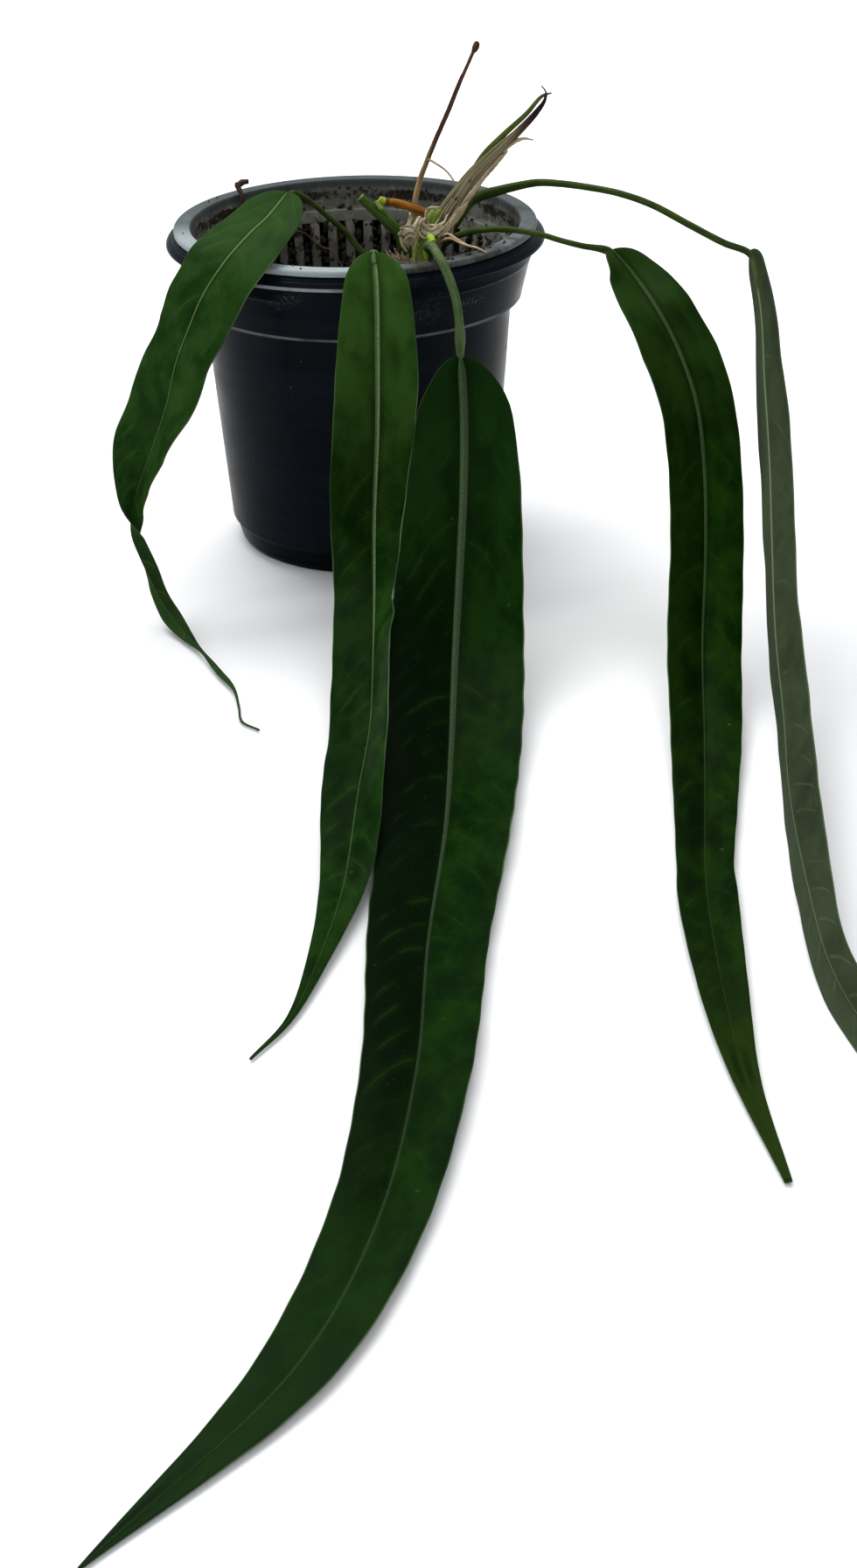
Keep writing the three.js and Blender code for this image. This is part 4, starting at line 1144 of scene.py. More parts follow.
def patch(name, radii, heights, start, end):
    """A strip of surface to scatter on, between two circles and two angles in degrees."""
    points = []
    for r in range(PATCH_ROWS + 1):
        share = r / PATCH_ROWS
        radius = (radii[0] + (radii[1] - radii[0]) * share) * MM
        z = (heights[0] + (heights[1] - heights[0]) * share) * MM
        for a in np.radians(np.linspace(start, end, PATCH_COLUMNS + 1)):
            points.append((radius * math.cos(a), radius * math.sin(a), z))
    row = PATCH_COLUMNS + 1
    faces = [
        (r * row + c, (r + 1) * row + c, (r + 1) * row + c + 1, r * row + c + 1)
        for r in range(PATCH_ROWS) for c in range(PATCH_COLUMNS)
    ]
    return show(name, mesh_of(name, points, faces))


def soil_patch(name):
    """The rough top of the mix, from near its middle to near the liner's wall."""
    rings = [soil_ring(SOIL_RADIUS * share) for share in np.linspace(0.99, 0.04, 30)]
    points = [p for ring in rings for p in ring]
    faces = [
        (r * SOIL_SIDES + s, r * SOIL_SIDES + (s + 1) % SOIL_SIDES,
         (r + 1) * SOIL_SIDES + (s + 1) % SOIL_SIDES, (r + 1) * SOIL_SIDES + s)
        for r in range(len(rings) - 1) for s in range(SOIL_SIDES)
    ]
    return show(name, mesh_of(name, points, faces))


# %% Finishes of the loose bits
def plain_bits(name, dark, pale, roughness, scale=300):
    bits = Finish(name, shine=0.3)
    blend = bits.noise(scale, 4, 0.65)
    return bits.finish(
        bits.mix(bits.step(blend, 0.35, 0.65), dark, pale), roughness, blend, relief=0.0004,
    )


crumb_finish = plain_bits("crumb_dark", (0.006, 0.0045, 0.0035), (0.04, 0.026, 0.017), 0.9)
bark_finish = plain_bits("bark_brown", (0.022, 0.012, 0.008), (0.11, 0.06, 0.033), 0.85)
dust_finish = plain_bits("crumb_dusty", (0.02, 0.018, 0.016), (0.17, 0.16, 0.14), 0.9, 160)
grit_finish = plain_bits("grit_pale", (0.35, 0.34, 0.32), (0.75, 0.74, 0.71), 0.7)
fibre_finish = plain_bits("fibre_tan", (0.12, 0.075, 0.04), (0.42, 0.3, 0.18), 0.8)

# %% Scatter the loose bits
SCATTERED = [
    # name, surface, shape, bits in a square metre, smallest and largest in mm, tilt, finish
    ("mix_clods", soil_patch("on_mix"), clod, 60000, 1.6, 4.6, 3.1, crumb_finish),
    ("mix_chips", soil_patch("on_mix"), chip, 16000, 3.0, 8.0, 0.7, bark_finish),
    ("mix_grit", soil_patch("on_mix"), clod, 3000, 0.9, 2.6, 3.1, grit_finish),
    ("mix_fibres", soil_patch("on_mix"), thread, 9000, 7.0, 17.0, 0.35, fibre_finish),
    ("slot_dirt", patch("in_slots", (65.6, 67.2), (104, 128), 10, 200), clod, 90000, 1.2, 3.4,
     3.1, crumb_finish),
    ("slat_dirt", patch("on_slats", (64.2, 66), (104, 128), 10, 200), clod, 20000, 1.0, 3.8,
     3.1, crumb_finish),
    ("ledge_dirt", patch("on_ledge", (67.2, 71.2), (133.2, 133.4), 0, 360), clod, 30000, 0.8, 2.6,
     3.1, crumb_finish),
    ("ledge_heap", patch("on_ledge", (66.5, 71.6), (133.4, 134.2), -44, -20), clod, 90000, 1.2,
     3.8, 3.1, dust_finish),
    ("wall_dirt", patch("on_wall", (72.4, 72.9), (135, 142), 55, 130), clod, 50000, 0.6, 2.2,
     3.1, crumb_finish),
    ("rim_crumbs", patch("on_rim", (72.4, 77.4), (145.6, 145.7), -66, -30), clod, 60000, 0.5,
     1.7, 3.1, crumb_finish),
    ("rim_dust", patch("on_rim", (73.6, 79.4), (145.7, 145.7), 0, 360), clod, 5000, 0.4, 1.1,
     3.1, crumb_finish),
]
for seed, row in enumerate(SCATTERED):
    name, surface, shape, density, smallest, largest, tilted, finish = row
    bits = scatter_tree.run(
        name, surface, Shape=shape, Density=float(density), Smallest=smallest * MM,
        Largest=largest * MM, Tilt=tilted, Seed=seed + 4, Finish=finish,
    )
    node = "potting_mix" if name.startswith("mix") else "liner_pot"
    place(bits, "mix", node)
for shape in (clod, chip, thread):
    bpy.data.objects.remove(shape)

# %% [markdown]
# ## Leaf green
# The upper side is a deep satin green with long soft blotches, a paler midrib and a
# fine pale margin. Its side veins hardly show: they leave the midrib in forward arcs
# and fade in and out. The underside is a greyer, paler green with its veins standing
# out. Each face carries its distance along and across the blade, so all of this is
# drawn from those and follows every bend.

# %% What both faces of a leaf are mixed from
class LeafFinish(Finish):
    """A leaf's finish, with the noise and the masks that both of its faces use."""

    def __init__(self, name):
        super().__init__(name, shine=0.006)
        self.along, self.across = self.value("along"), self.value("across")
        self.share, self.from_rib = self.value("share"), self.value("from_rib")
        reach = self.value("reach")
        self.edge, self.right_half = reach.size(), reach.over(0)
        self.rib = self.step(self.from_rib, 1.15, 0.75)
        self.margin = self.step(self.edge, 0.972, 0.99)
        self.add_noise()
        self.add_veins()

    def add_noise(self):
        """Soft patterns, from blotches centimetres wide to a mottle of tenths of one."""
        sideways = self.across * (self.right_half * 2 - 1)
        self.spread = self.join(sideways, self.along * 0.42, self.share * 0.2)
        self.drift = self.noise(21, 3, 0.55, at=self.spread)
        self.blotch = self.noise(95, 4, 0.6, at=self.spread)
        self.mottle = self.noise(430, 4, 0.7)

    def add_veins(self):
        """Side veins in forward arcs that fade in and out, and the loops that join them."""
        lean = self.across * VEIN_LEAN + self.across * self.edge * VEIN_CURVE
        turn = (self.along - lean) / VEIN_PITCH + self.right_half * 0.5 + self.drift * 1.3
        from_vein = (turn.fraction() - 0.5).size() * 2
        fading = self.step(self.noise(46, 2, 0.5), 0.44, 0.66)
        inside = self.step(self.edge, 0.03, 0.12) * self.step(self.edge, 0.95, 0.72) * fading
        self.vein = self.step(from_vein, 0.86, 0.99) * inside
        self.soft_vein = self.step(from_vein, 0.35, 1.0) * inside
        from_loop = (self.edge - 0.86 + from_vein * 0.09).size()
        self.loop = self.step(from_loop, 0.03, 0.006) * fading


def shade(colour, factor):
    return tuple(channel * factor for channel in colour)


# %% The two faces of a leaf
def upper_green(leaf, crest_light, dark, bright, tip, left_shade):
    """Blotches and a tip tint, with painted light on the crest and painted shade at the left and in
    puckers.
    """
    share, blotch = leaf.share, leaf.blotch
    top = leaf.mix(leaf.step(blotch * 0.75 + leaf.drift * 0.25, 0.36, 0.66), dark, bright)
    top = leaf.mix(leaf.step(leaf.mottle, 0.5, 0.85, 0, 0.3), top, bright)
    top = leaf.mix(leaf.step(share, 0.7, 1.0, 0, 0.7), top, tip)
    on_left = (1 - leaf.right_half) * leaf.step(share, 0.04, 0.2) * leaf.step(share, 0.85, 0.6)
    top = leaf.mix(on_left * left_shade, top, shade(dark, 0.3))
    # Painted light: the arching crest near the blade's base is tinted brighter, where daylight
    # falls on it.
    lit_crest = leaf.step(share, 0.26, 0.02) * leaf.step(blotch, 0.25, 0.6, 0.5, 1)
    top = leaf.mix(lit_crest, top, crest_light)
    # Painted shade: dark patches in the pucker hollows partway across each half.
    pucker_shade = leaf.step(leaf.noise(34, 2, 0.5, at=leaf.spread), 0.52, 0.66)
    pucker_shade = pucker_shade * leaf.step((leaf.edge - 0.36).size(), 0.3, 0.1)
    pucker_shade = pucker_shade * leaf.step(share, 0.0, 0.08)
    return leaf.mix(pucker_shade * 0.5, top, shade(dark, 0.45))


def upper_marks(leaf, top, dark, bright, rib_left, rib_right):
    """Over the green: veins, the midrib with painted shade on its flanks, the margin, scars and
    pores.
    """
    top = leaf.mix(leaf.soft_vein * 0.16 + leaf.vein * 0.26, top, shade(bright, 1.6))
    # Painted shade: the flanks beside the midrib are darkened.
    flank_shade = leaf.step(leaf.from_rib, 4.5, 1.0) * leaf.step(leaf.share, 0.75, 0.1)
    top = leaf.mix(flank_shade * 0.5, top, shade(dark, 0.5))
    rib_grain = leaf.step(leaf.noise(1900, 3, 0.7), 0.34, 0.62, 0.45, 1.0)
    rib_fading = leaf.step(leaf.share, 0.06, 0.7, 0.9, 0.32)
    rib_tone = leaf.mix(leaf.right_half, rib_left, rib_right)
    top = leaf.mix(leaf.rib * rib_grain * rib_fading, top, rib_tone)
    margin_share = leaf.margin * leaf.step(leaf.drift, 0.4, 0.6, 0.15, 0.75)
    top = leaf.mix(margin_share, top, (0.1, 0.15, 0.075))
    scars = leaf.specks(230, 0.972, 0.24) * leaf.step(leaf.mottle, 0.45, 0.6)
    top = leaf.mix(scars * 0.35, top, (0.08, 0.1, 0.055))
    pores = leaf.specks(620, 0.9, 0.25)
    return leaf.mix(pores * 0.18, top, (0.05, 0.085, 0.035))


def underside(leaf, under):
    """A greyer face, paler at the right, with clear veins and a midrib edged in shadow."""
    patches = leaf.step(leaf.blotch * 0.6 + leaf.drift * 0.4, 0.36, 0.64)
    low = leaf.mix(patches, shade(under, 0.8), shade(under, 1.3))
    low = leaf.mix(leaf.right_half * 0.35, low, shade(under, 1.9))
    low = leaf.mix(leaf.vein * 0.3 + leaf.loop * 0.12, low, (0.1, 0.125, 0.08))
    beside_rib = leaf.step((leaf.from_rib - 1.9).size(), 0.9, 0.3)
    low = leaf.mix(beside_rib * leaf.right_half * 0.55, low, shade(under, 0.35))
    return leaf.mix(leaf.rib * 0.8 + leaf.margin * 0.3, low, (0.15, 0.19, 0.11))


def leaf_finish(name, *, crest_light, dark, bright, tip, under, left_shade, rib_left, rib_right):
    leaf = LeafFinish(name)
    on_underside = leaf.value("under")
    top = upper_green(leaf, crest_light, dark, bright, tip, left_shade)
    top = upper_marks(leaf, top, dark, bright, rib_left, rib_right)
    colour = leaf.mix(on_underside, top, underside(leaf, under))
    gloss = leaf.step(leaf.blotch * 0.5 + leaf.mottle * 0.5, 0.3, 0.7, 0.36, 0.5)
    height = leaf.mottle * 0.2 + leaf.blotch * 0.5 - leaf.soft_vein * 0.2 - leaf.vein * 0.12
    height = height * (1 - on_underside * 2)
    return leaf.finish(
        colour, gloss + on_underside * 0.14, height, relief=0.0004, strength=0.5,
    )


# %% Five greens
deep_leaf = leaf_finish(
    "leaf_deep_green",
    crest_light=(0.0055, 0.02, 0.0035), dark=(0.0013, 0.0095, 0.0008),
    bright=(0.0056, 0.0222, 0.0014), tip=(0.0105, 0.025, 0.0075),
    under=(0.035, 0.047, 0.026), left_shade=0.85,
    rib_left=(0.055, 0.1, 0.042), rib_right=(0.042, 0.06, 0.034),
)
middle_leaf = leaf_finish(
    "leaf_middle_green",
    crest_light=(0.027, 0.066, 0.011), dark=(0.0022, 0.0135, 0.001),
    bright=(0.0105, 0.034, 0.0038), tip=(0.0035, 0.0165, 0.001),
    under=(0.045, 0.062, 0.032), left_shade=0.45,
    rib_left=(0.07, 0.12, 0.045), rib_right=(0.16, 0.22, 0.11),
)
fresh_leaf = leaf_finish(
    "leaf_fresh_green",
    crest_light=(0.017, 0.047, 0.008), dark=(0.0062, 0.0238, 0.0035),
    bright=(0.0185, 0.05, 0.009), tip=(0.0145, 0.042, 0.006),
    under=(0.012, 0.03, 0.0065), left_shade=0.1,
    rib_left=(0.12, 0.17, 0.07), rib_right=(0.12, 0.17, 0.07),
)
olive_leaf = leaf_finish(
    "leaf_olive_green",
    crest_light=(0.012, 0.031, 0.0045), dark=(0.0013, 0.0085, 0.0005),
    bright=(0.0066, 0.0235, 0.001), tip=(0.016, 0.032, 0.004),
    under=(0.04, 0.056, 0.026), left_shade=0.4,
    rib_left=(0.045, 0.074, 0.027), rib_right=(0.034, 0.058, 0.021),
)
back_leaf = leaf_finish(
    "leaf_seen_from_below",
    crest_light=(0.0022, 0.0105, 0.0009), dark=(0.0022, 0.0105, 0.0009),
    bright=(0.008, 0.0235, 0.0016), tip=(0.02, 0.038, 0.006),
    under=(0.029, 0.0405, 0.0205), left_shade=0.0,
    rib_left=(0.07, 0.11, 0.04), rib_right=(0.05, 0.085, 0.03),
)

# %% [markdown]
# ## Stem finishes
# A living petiole is green with fine lengthwise streaks and pale specks.
# A dead stalk or root is the same recipe in straw and brown. The tree that grew them
# left the distance along the stem, so a cut end or a dried tip can have its own colour.

# %% Streaked finish
def streaked(name, dark, pale, roughness, ends=(), streaks=26.0, specks=0.0):
    """Lengthwise streaks, and colours that set in between two distances along."""
    stalk = Finish(name, shine=0.04)
    along, around = stalk.value("along"), stalk.value("around")
    lines = stalk.noise(1.0, 4, 0.6, at=stalk.join(around * streaks, along * 55, along * 3))
    blotch = stalk.noise(140, 4, 0.6)
    colour = stalk.mix(stalk.step(lines * 0.7 + blotch * 0.3, 0.36, 0.66), dark, pale)
    if specks:
        dots = stalk.specks(1300, 0.75, 0.35)
        dot_tone = tuple(min(1, channel * 2.2 + 0.03) for channel in pale)
        colour = stalk.mix(dots * specks, colour, dot_tone)
    for start, end, tint in ends:
        colour = stalk.mix(stalk.step(along + blotch * 0.002, start * MM, end * MM), colour, tint)
    return stalk.finish(colour, roughness, lines + blotch * 0.4, relief=0.00025, strength=0.7)


petiole_green = streaked(
    "petiole_green", (0.035, 0.062, 0.018), (0.085, 0.13, 0.05), 0.5, specks=0.3,
)
petiole_deep = streaked(
    "petiole_deep_green", (0.014, 0.026, 0.003), (0.05, 0.078, 0.014), 0.48, specks=0.2,
)

# %% [markdown]
# ## The five leaves
# Each leaf is a blade and the petiole that carries it. The petiole swells where it
# joins the blade, as it does on the plant, and runs a little way under the midrib.

# %% Grow the leaves
def swell_at_blade(distance, length):
    """A petiole thickens slightly over its last centimetre, before it goes under the rib."""
    from_end = (length - distance) / MM
    return 1 + 0.28 * np.exp(-((from_end - 10) / 4.5) ** 2)


LEAF_FINISHES = {
    "leaf_1": (fresh_leaf, petiole_deep, 11),
    "leaf_2": (middle_leaf, petiole_green, 22),
    "leaf_3": (deep_leaf, petiole_green, 33),
    "leaf_4": (olive_leaf, petiole_deep, 44),
    "leaf_5": (back_leaf, petiole_deep, 55),
}
for name, plan in LEAVES.items():
    blade_finish, stalk_finish, seed = LEAF_FINISHES[name]
    blade = show(name + "_blade", blade_mesh(name + "_blade", plan, seed))
    place(blade, "leaf_green", name, finish=blade_finish)
    petiole = grow_stem(
        name + "_petiole", plan["petiole"], plan["petiole_radii"], stalk_finish,
        wobble=0.16, grain=160, seed=float(seed), swell=swell_at_blade,
    )
    place(petiole, "leaf_green", name)

# %% [markdown]
# ## The crown
# The crown is the plant's short stem: a fluted green base that fades to cream, wrapped
# in torn papery shreds, with the stubs of what was cut away. The solid parts are lofts
# with ripples round them. The shreds are thin curled ribbons that face the viewer.

# %% Rippled body and ribbon
FACING = np.array([0.05, -0.9, 0.42])


def frame_of(route, distance):
    """Where a route is at each distance, with the directions sideways and to the viewer."""
    heading = route.heading(distance)
    side = unit(np.cross(heading, FACING))
    return route.at(distance), side, np.cross(side, heading)


def body_along(name, points, widths, depths, ripple=0.06, ripples=9, sides=40, spacing=0.8,
               seed=0):
    """A closed body along a route, with lengthwise ripples that wander a little."""
    route = Route(points)
    distance = np.linspace(0, route.length, max(int(route.length / (spacing * MM)), 8))
    middle, side, up = frame_of(route, distance)
    width = route.along_knots(distance, np.array(widths) * MM)
    depth = route.along_knots(distance, np.array(depths) * MM)
    angles = np.linspace(0, 2 * math.pi, sides, endpoint=False)
    rings = []
    for i, reached in enumerate(distance):
        wander = seed + 0.5 * math.sin(reached / (9 * MM) + seed)
        finer = np.sin((2 * ripples + 3) * angles - 2 * wander)
        fold = 1 + ripple * np.sin(ripples * angles + wander) + ripple * 0.5 * finer
        rings.append(middle[i] + np.outer(np.cos(angles) * depth[i] * fold, up[i])
                     + np.outer(np.sin(angles) * width[i] * fold, side[i]))
    mesh = loft(name, rings)
    ends = [0.0, distance[-1]]
    add_values(mesh, along=[*np.repeat(distance, sides), *ends],
               around=[*np.tile(angles / (2 * math.pi), len(distance)), 0, 0])
    return mesh


RIBBON_THICKNESS = 0.34 * MM
RIBBON_SPACING = 0.7 * MM
RAGGEDNESS = 0.16


def ribbon(points, widths, curl, twist, seed):
    """Rings of a thin strip, curled across and twisted along, with a ragged edge."""
    draw = random.Random(seed)
    route = Route(points)
    distance = np.linspace(0, route.length, max(int(route.length / RIBBON_SPACING), 6))
    middle, side, up = frame_of(route, distance)
    half = route.along_knots(distance, np.array(widths) * MM / 2)
    rings = []
    for i, reached in enumerate(distance):
        turn = math.radians(twist) * reached / route.length
        turn = turn + 0.25 * math.sin(reached / (3 * MM) + seed)
        across = side[i] * math.cos(turn) + up[i] * math.sin(turn)
        out = up[i] * math.cos(turn) - side[i] * math.sin(turn)
        rag = 1 + draw.uniform(-RAGGEDNESS, RAGGEDNESS)
        spots = np.linspace(-1, 1, 5)
        bow = curl * half[i] * (1 - spots**2)
        top = [middle[i] + across * half[i] * rag * k + out * (b + RIBBON_THICKNESS / 2)
               for k, b in zip(spots, bow)]
        low = [middle[i] + across * half[i] * rag * k + out * (b - RIBBON_THICKNESS / 2)
               for k, b in zip(spots[::-1], bow[::-1])]
        rings.append(top + low)
    return rings, distance


def ribbons(name, strips):
    """One mesh of several ribbons, each given as its points, widths, curl and twist."""
    points, faces, along, around = [], [], [], []
    for seed, (route_points, widths, curl, twist) in enumerate(strips):
        rings, distance = ribbon(route_points, widths, curl, twist, seed=seed)
        part = loft(name + "_part", rings)
        start = len(points)
        points += [tuple(v.co) for v in part.vertices]
        faces += [tuple(start + i for i in p.vertices) for p in part.polygons]
        sides = len(rings[0])
        along += [*np.repeat(distance, sides), 0.0, distance[-1]]
        around += [*np.tile(np.linspace(0, 1, sides), len(distance)) + seed * 0.37, 0, 0]
        bpy.data.meshes.remove(part)
    mesh = mesh_of(name, points, faces)
    add_values(mesh, along=along, around=around)
    return show(name, mesh)


# %% Crown finishes
crown_green = streaked(
    "crown_green_cream", (0.11, 0.17, 0.02), (0.48, 0.48, 0.2), 0.5, streaks=20.0,
)
stub_green = streaked(
    "stub_green", (0.018, 0.045, 0.005), (0.05, 0.1, 0.014), 0.45,
    ends=((35.5, 36.3, (0.33, 0.44, 0.13)),), specks=0.15,
)
spur_green = streaked(
    "spur_green", (0.03, 0.075, 0.008), (0.09, 0.17, 0.02), 0.4,
    ends=((8.5, 10.5, (0.3, 0.4, 0.1)),),
)
stump_green = streaked(
    "stump_green", (0.09, 0.15, 0.015), (0.32, 0.38, 0.1), 0.45, streaks=16.0,
)
bud_green = streaked(
    "bud_yellow_green", (0.2, 0.33, 0.02), (0.38, 0.52, 0.05), 0.4,
)
papery = streaked(
    "papery_shred", (0.1, 0.072, 0.03), (0.72, 0.62, 0.42), 0.75, streaks=12.0,
)
straw_edge = streaked(
    "straw_edge", (0.2, 0.145, 0.08), (0.5, 0.4, 0.26), 0.7, streaks=8.0,
)

# %% Crown body and stubs
crown_mesh = body_along(
    "crown_base", [[29, -6, 108], [30, -6, 120], [31, -6, 134], [33, -5, 146]],
    [6.6, 7.6, 7.2, 4.2], [6.4, 7.2, 7.2, 4], ripple=0.07, ripples=7,
)
place(show("crown_base", crown_mesh), "stem_green", "crown", finish=crown_green)
place(grow_stem(
    "cut_petiole", [[26, -6, 131], [21.7, -6, 134.5], [19.9, -4.5, 139.7], [11.6, -2, 147.5],
                    [2.4, 0, 155.6]],
    [3.2, 3, 2.8, 2.4, 1.75], stub_green, sides=20, wobble=0.3, grain=120,
), "stem_green", "crown")
place(grow_stem(
    "cut_petiole_spur", [[16.5, -3.6, 144], [12.6, -2.6, 149.6], [9.4, -1.6, 154.2]],
    [1.3, 1.15, 0.9], spur_green, wobble=0.3, grain=200, spacing=0.8,
), "stem_green", "crown")
stump_mesh = body_along(
    "cut_stump", [[33.4, -7.5, 139], [34, -7.2, 144], [35.2, -6.4, 148], [37.4, -4.6, 150.4]],
    [3.4, 3.2, 2.9, 2.2], [3.2, 3, 2.6, 1.8], ripple=0.08, ripples=7, spacing=0.5,
)
place(show("cut_stump", stump_mesh), "stem_green", "crown", finish=stump_green)
place(grow_stem(
    "bud", [[33, -12, 140], [32.9, -17.5, 142], [33.3, -22, 142.5], [34.2, -25, 141.7]],
    [1.3, 1.4, 1.75, 1.2], bud_green, wobble=0.3, grain=500, spacing=0.4,
), "stem_green", "crown")
place(grow_stem(
    "bud_scale", [[32.9, -23.6, 142], [31.3, -25.4, 140.4], [30.6, -25.8, 137.8],
                  [30.9, -25.8, 135.1], [30.8, -25.4, 132.7]],
    [0.8, 1.0, 1.05, 0.9, 0.4], bud_green, wobble=0.5, grain=500, spacing=0.6,
), "stem_green", "crown")

# %% Papery shreds round the crown
place(ribbons("crown_shreds", [
    ([[19.6, -12, 141.6], [22, -14, 143.8], [25, -14.6, 144.2], [28.4, -14.6, 145.4]],
     [2.2, 3.4, 2.8, 1.4], 0.8, 30),
    ([[28.8, -13, 149.8], [27, -15, 146.1], [25.3, -15.4, 141.9], [24.3, -14.4, 137.6]],
     [1.6, 3.8, 4.4, 2.0], 0.5, -20),
    ([[24.2, -10, 151], [24.6, -12, 148], [23.4, -13, 145.4], [21.6, -12.4, 144.4]],
     [0.5, 1.8, 2.8, 1.4], 0.3, 40),
    ([[31.2, -13, 149.3], [28.9, -14.8, 147.6], [28, -15.4, 144.1], [30, -15.8, 141.2],
      [33, -15, 140.8]], [0.9, 1.6, 1.4, 1.2, 0.9], 0.5, 60),
    ([[44.3, -8, 149.2], [42.3, -11, 144.7], [42.4, -12.4, 141], [41, -12.6, 138.8],
      [38.8, -12.5, 140.9]], [1.2, 2.2, 2.0, 1.8, 0.8], 0.6, 80),
    ([[31.6, -12.6, 146], [36.5, -14, 146], [39.2, -13, 147.4], [40.6, -11.6, 150]],
     [0.8, 1.5, 1.3, 0.7], 0.5, 30),
    ([[29.2, -15, 144.6], [32.2, -15.6, 142.4], [35.7, -15.2, 143.4], [38.6, -13.8, 145.8]],
     [1.2, 2.8, 3.0, 1.4], 0.5, -30),
    ([[20, -12.6, 141], [21, -13.6, 137.6], [22.7, -13.6, 134.4]], [1.6, 2.2, 0.9], 0.6, 30),
    ([[31.4, -9.6, 146], [31.5, -9.8, 150.6], [32.6, -9.6, 152.6]], [1.4, 1.5, 1.0], 0.6, 10),
    ([[32.4, -9.4, 151.8], [34.6, -9.2, 152.6], [37.4, -8.6, 152.4]], [0.9, 1.2, 1.0], 0.6, 40),
    ([[26.5, -14.4, 146.5], [23.5, -15.2, 143], [22.6, -15, 139.5], [23.6, -14, 136]],
     [1.0, 2.4, 2.6, 1.0], 0.5, -40),
    ([[36, -14.4, 145.6], [33.6, -15.6, 144.4], [31, -15.6, 146.2], [29, -14.4, 148.4]],
     [0.8, 1.7, 1.7, 0.7], 0.6, 50),
]), "straw", "dry_sheath", finish=papery)

# %% [markdown]
# ## The dry sheath
# A dead wrapper leans out of the crown: grey and papery, with long straw strips down
# its right side, black specks near its foot and a dark purple tip that ends in a hair.

# %% Sheath
sheath = Finish("dry_sheath_grey", shine=0.05)
sheath_along, sheath_around = sheath.value("along"), sheath.value("around")
sheath_lines = sheath.noise(
    1.0, 5, 0.6, at=sheath.join(sheath_around * 24, sheath_along * 40, sheath_along * 9),
)
sheath_blotch = sheath.noise(120, 5, 0.65)
sheath_tone = sheath.mix(
    sheath.step(sheath_lines, 0.35, 0.66), (0.074, 0.063, 0.033), (0.25, 0.213, 0.124),
)
slits = sheath.step(sheath_lines * 0.7 + sheath_blotch * 0.3, 0.36, 0.31)
foot_specks = sheath.specks(330, 0.72, 0.42) * sheath.step(sheath_along, 0.034, 0.012)
sheath_tone = sheath.mix(slits * 0.6 + foot_specks, sheath_tone, (0.012, 0.009, 0.006))
sheath_tone = sheath.mix(
    sheath.step(sheath_along + sheath_blotch * 0.006, 0.047, 0.066), sheath_tone,
    (0.022, 0.009, 0.011),
)
sheath_finish = sheath.finish(
    sheath_tone, 0.72, sheath_lines + sheath_blotch * 0.3, relief=0.0006, strength=0.8,
)
sheath_mesh = body_along(
    "sheath_roll",
    [[38, -5, 143], [43.7, -2.6, 151.8], [53, 0.4, 163.8], [63.6, 2.4, 174.2], [71.4, 4, 180.9],
     [79.8, 5, 189.2], [84, 5.4, 195], [84.4, 5.6, 198.4], [82.5, 5.6, 201]],
    [4.9, 4.6, 3.7, 2.5, 1.7, 1.3, 0.7, 0.35, 0.25], [3, 2.6, 2, 1.5, 1.1, 0.9, 0.5, 0.3, 0.2],
    ripple=0.05, ripples=8, seed=2,
)
place(show("sheath_roll", sheath_mesh), "straw", "dry_sheath", finish=sheath_finish)
place(ribbons("sheath_strips", [
    ([[42.5, -8.4, 145], [46.4, -5.6, 150.6], [52.8, -2.6, 158.4], [58.6, -0.6, 165.6],
      [65.4, 1.6, 172.6]], [1.0, 2.0, 2.4, 2.2, 1.0], 0.6, 20),
    ([[44, -6.4, 147.2], [49, -4.4, 154.6], [55.6, -1.8, 161.8], [62.6, 0.6, 168.8],
      [67.6, 2, 174]], [0.9, 1.5, 1.9, 1.6, 0.8], 0.7, -30),
    ([[40, -10, 144], [44.4, -7.6, 148.6], [49.4, -5.4, 153.6]], [0.8, 1.5, 0.6], 0.6, 30),
    ([[37.4, -13, 141], [42, -10.6, 145.4], [46.6, -8, 150.4], [50, -6, 154]],
     [1.0, 1.5, 1.3, 0.5], 0.5, -20),
    ([[36, -14.2, 139.4], [40.6, -12.4, 143], [45.6, -9, 147.8], [49.6, -6, 152.6]],
     [0.9, 1.5, 1.3, 0.5], 0.5, 25),
    ([[61, 1.4, 171], [66, 2.4, 174.4], [70.5, 3.4, 177.4], [74.8, 4, 178.8], [79, 4.2, 178]],
     [1.6, 2.2, 2.0, 1.3, 0.4], 0.7, 40),
]), "straw", "dry_sheath", finish=straw_edge)

# %% Several stems as one
def grow_together(name, stems, finish, **settings):
    """Grows several stems and joins them into one mesh."""
    grown = [grow_stem(f"{name}_{i}", points, radii, finish, seed=float(i), **settings)
             for i, (points, radii) in enumerate(stems)]
    with bpy.context.temp_override(active_object=grown[0], selected_editable_objects=grown):
        bpy.ops.object.join()
    grown[0].name = name
    return grown[0]


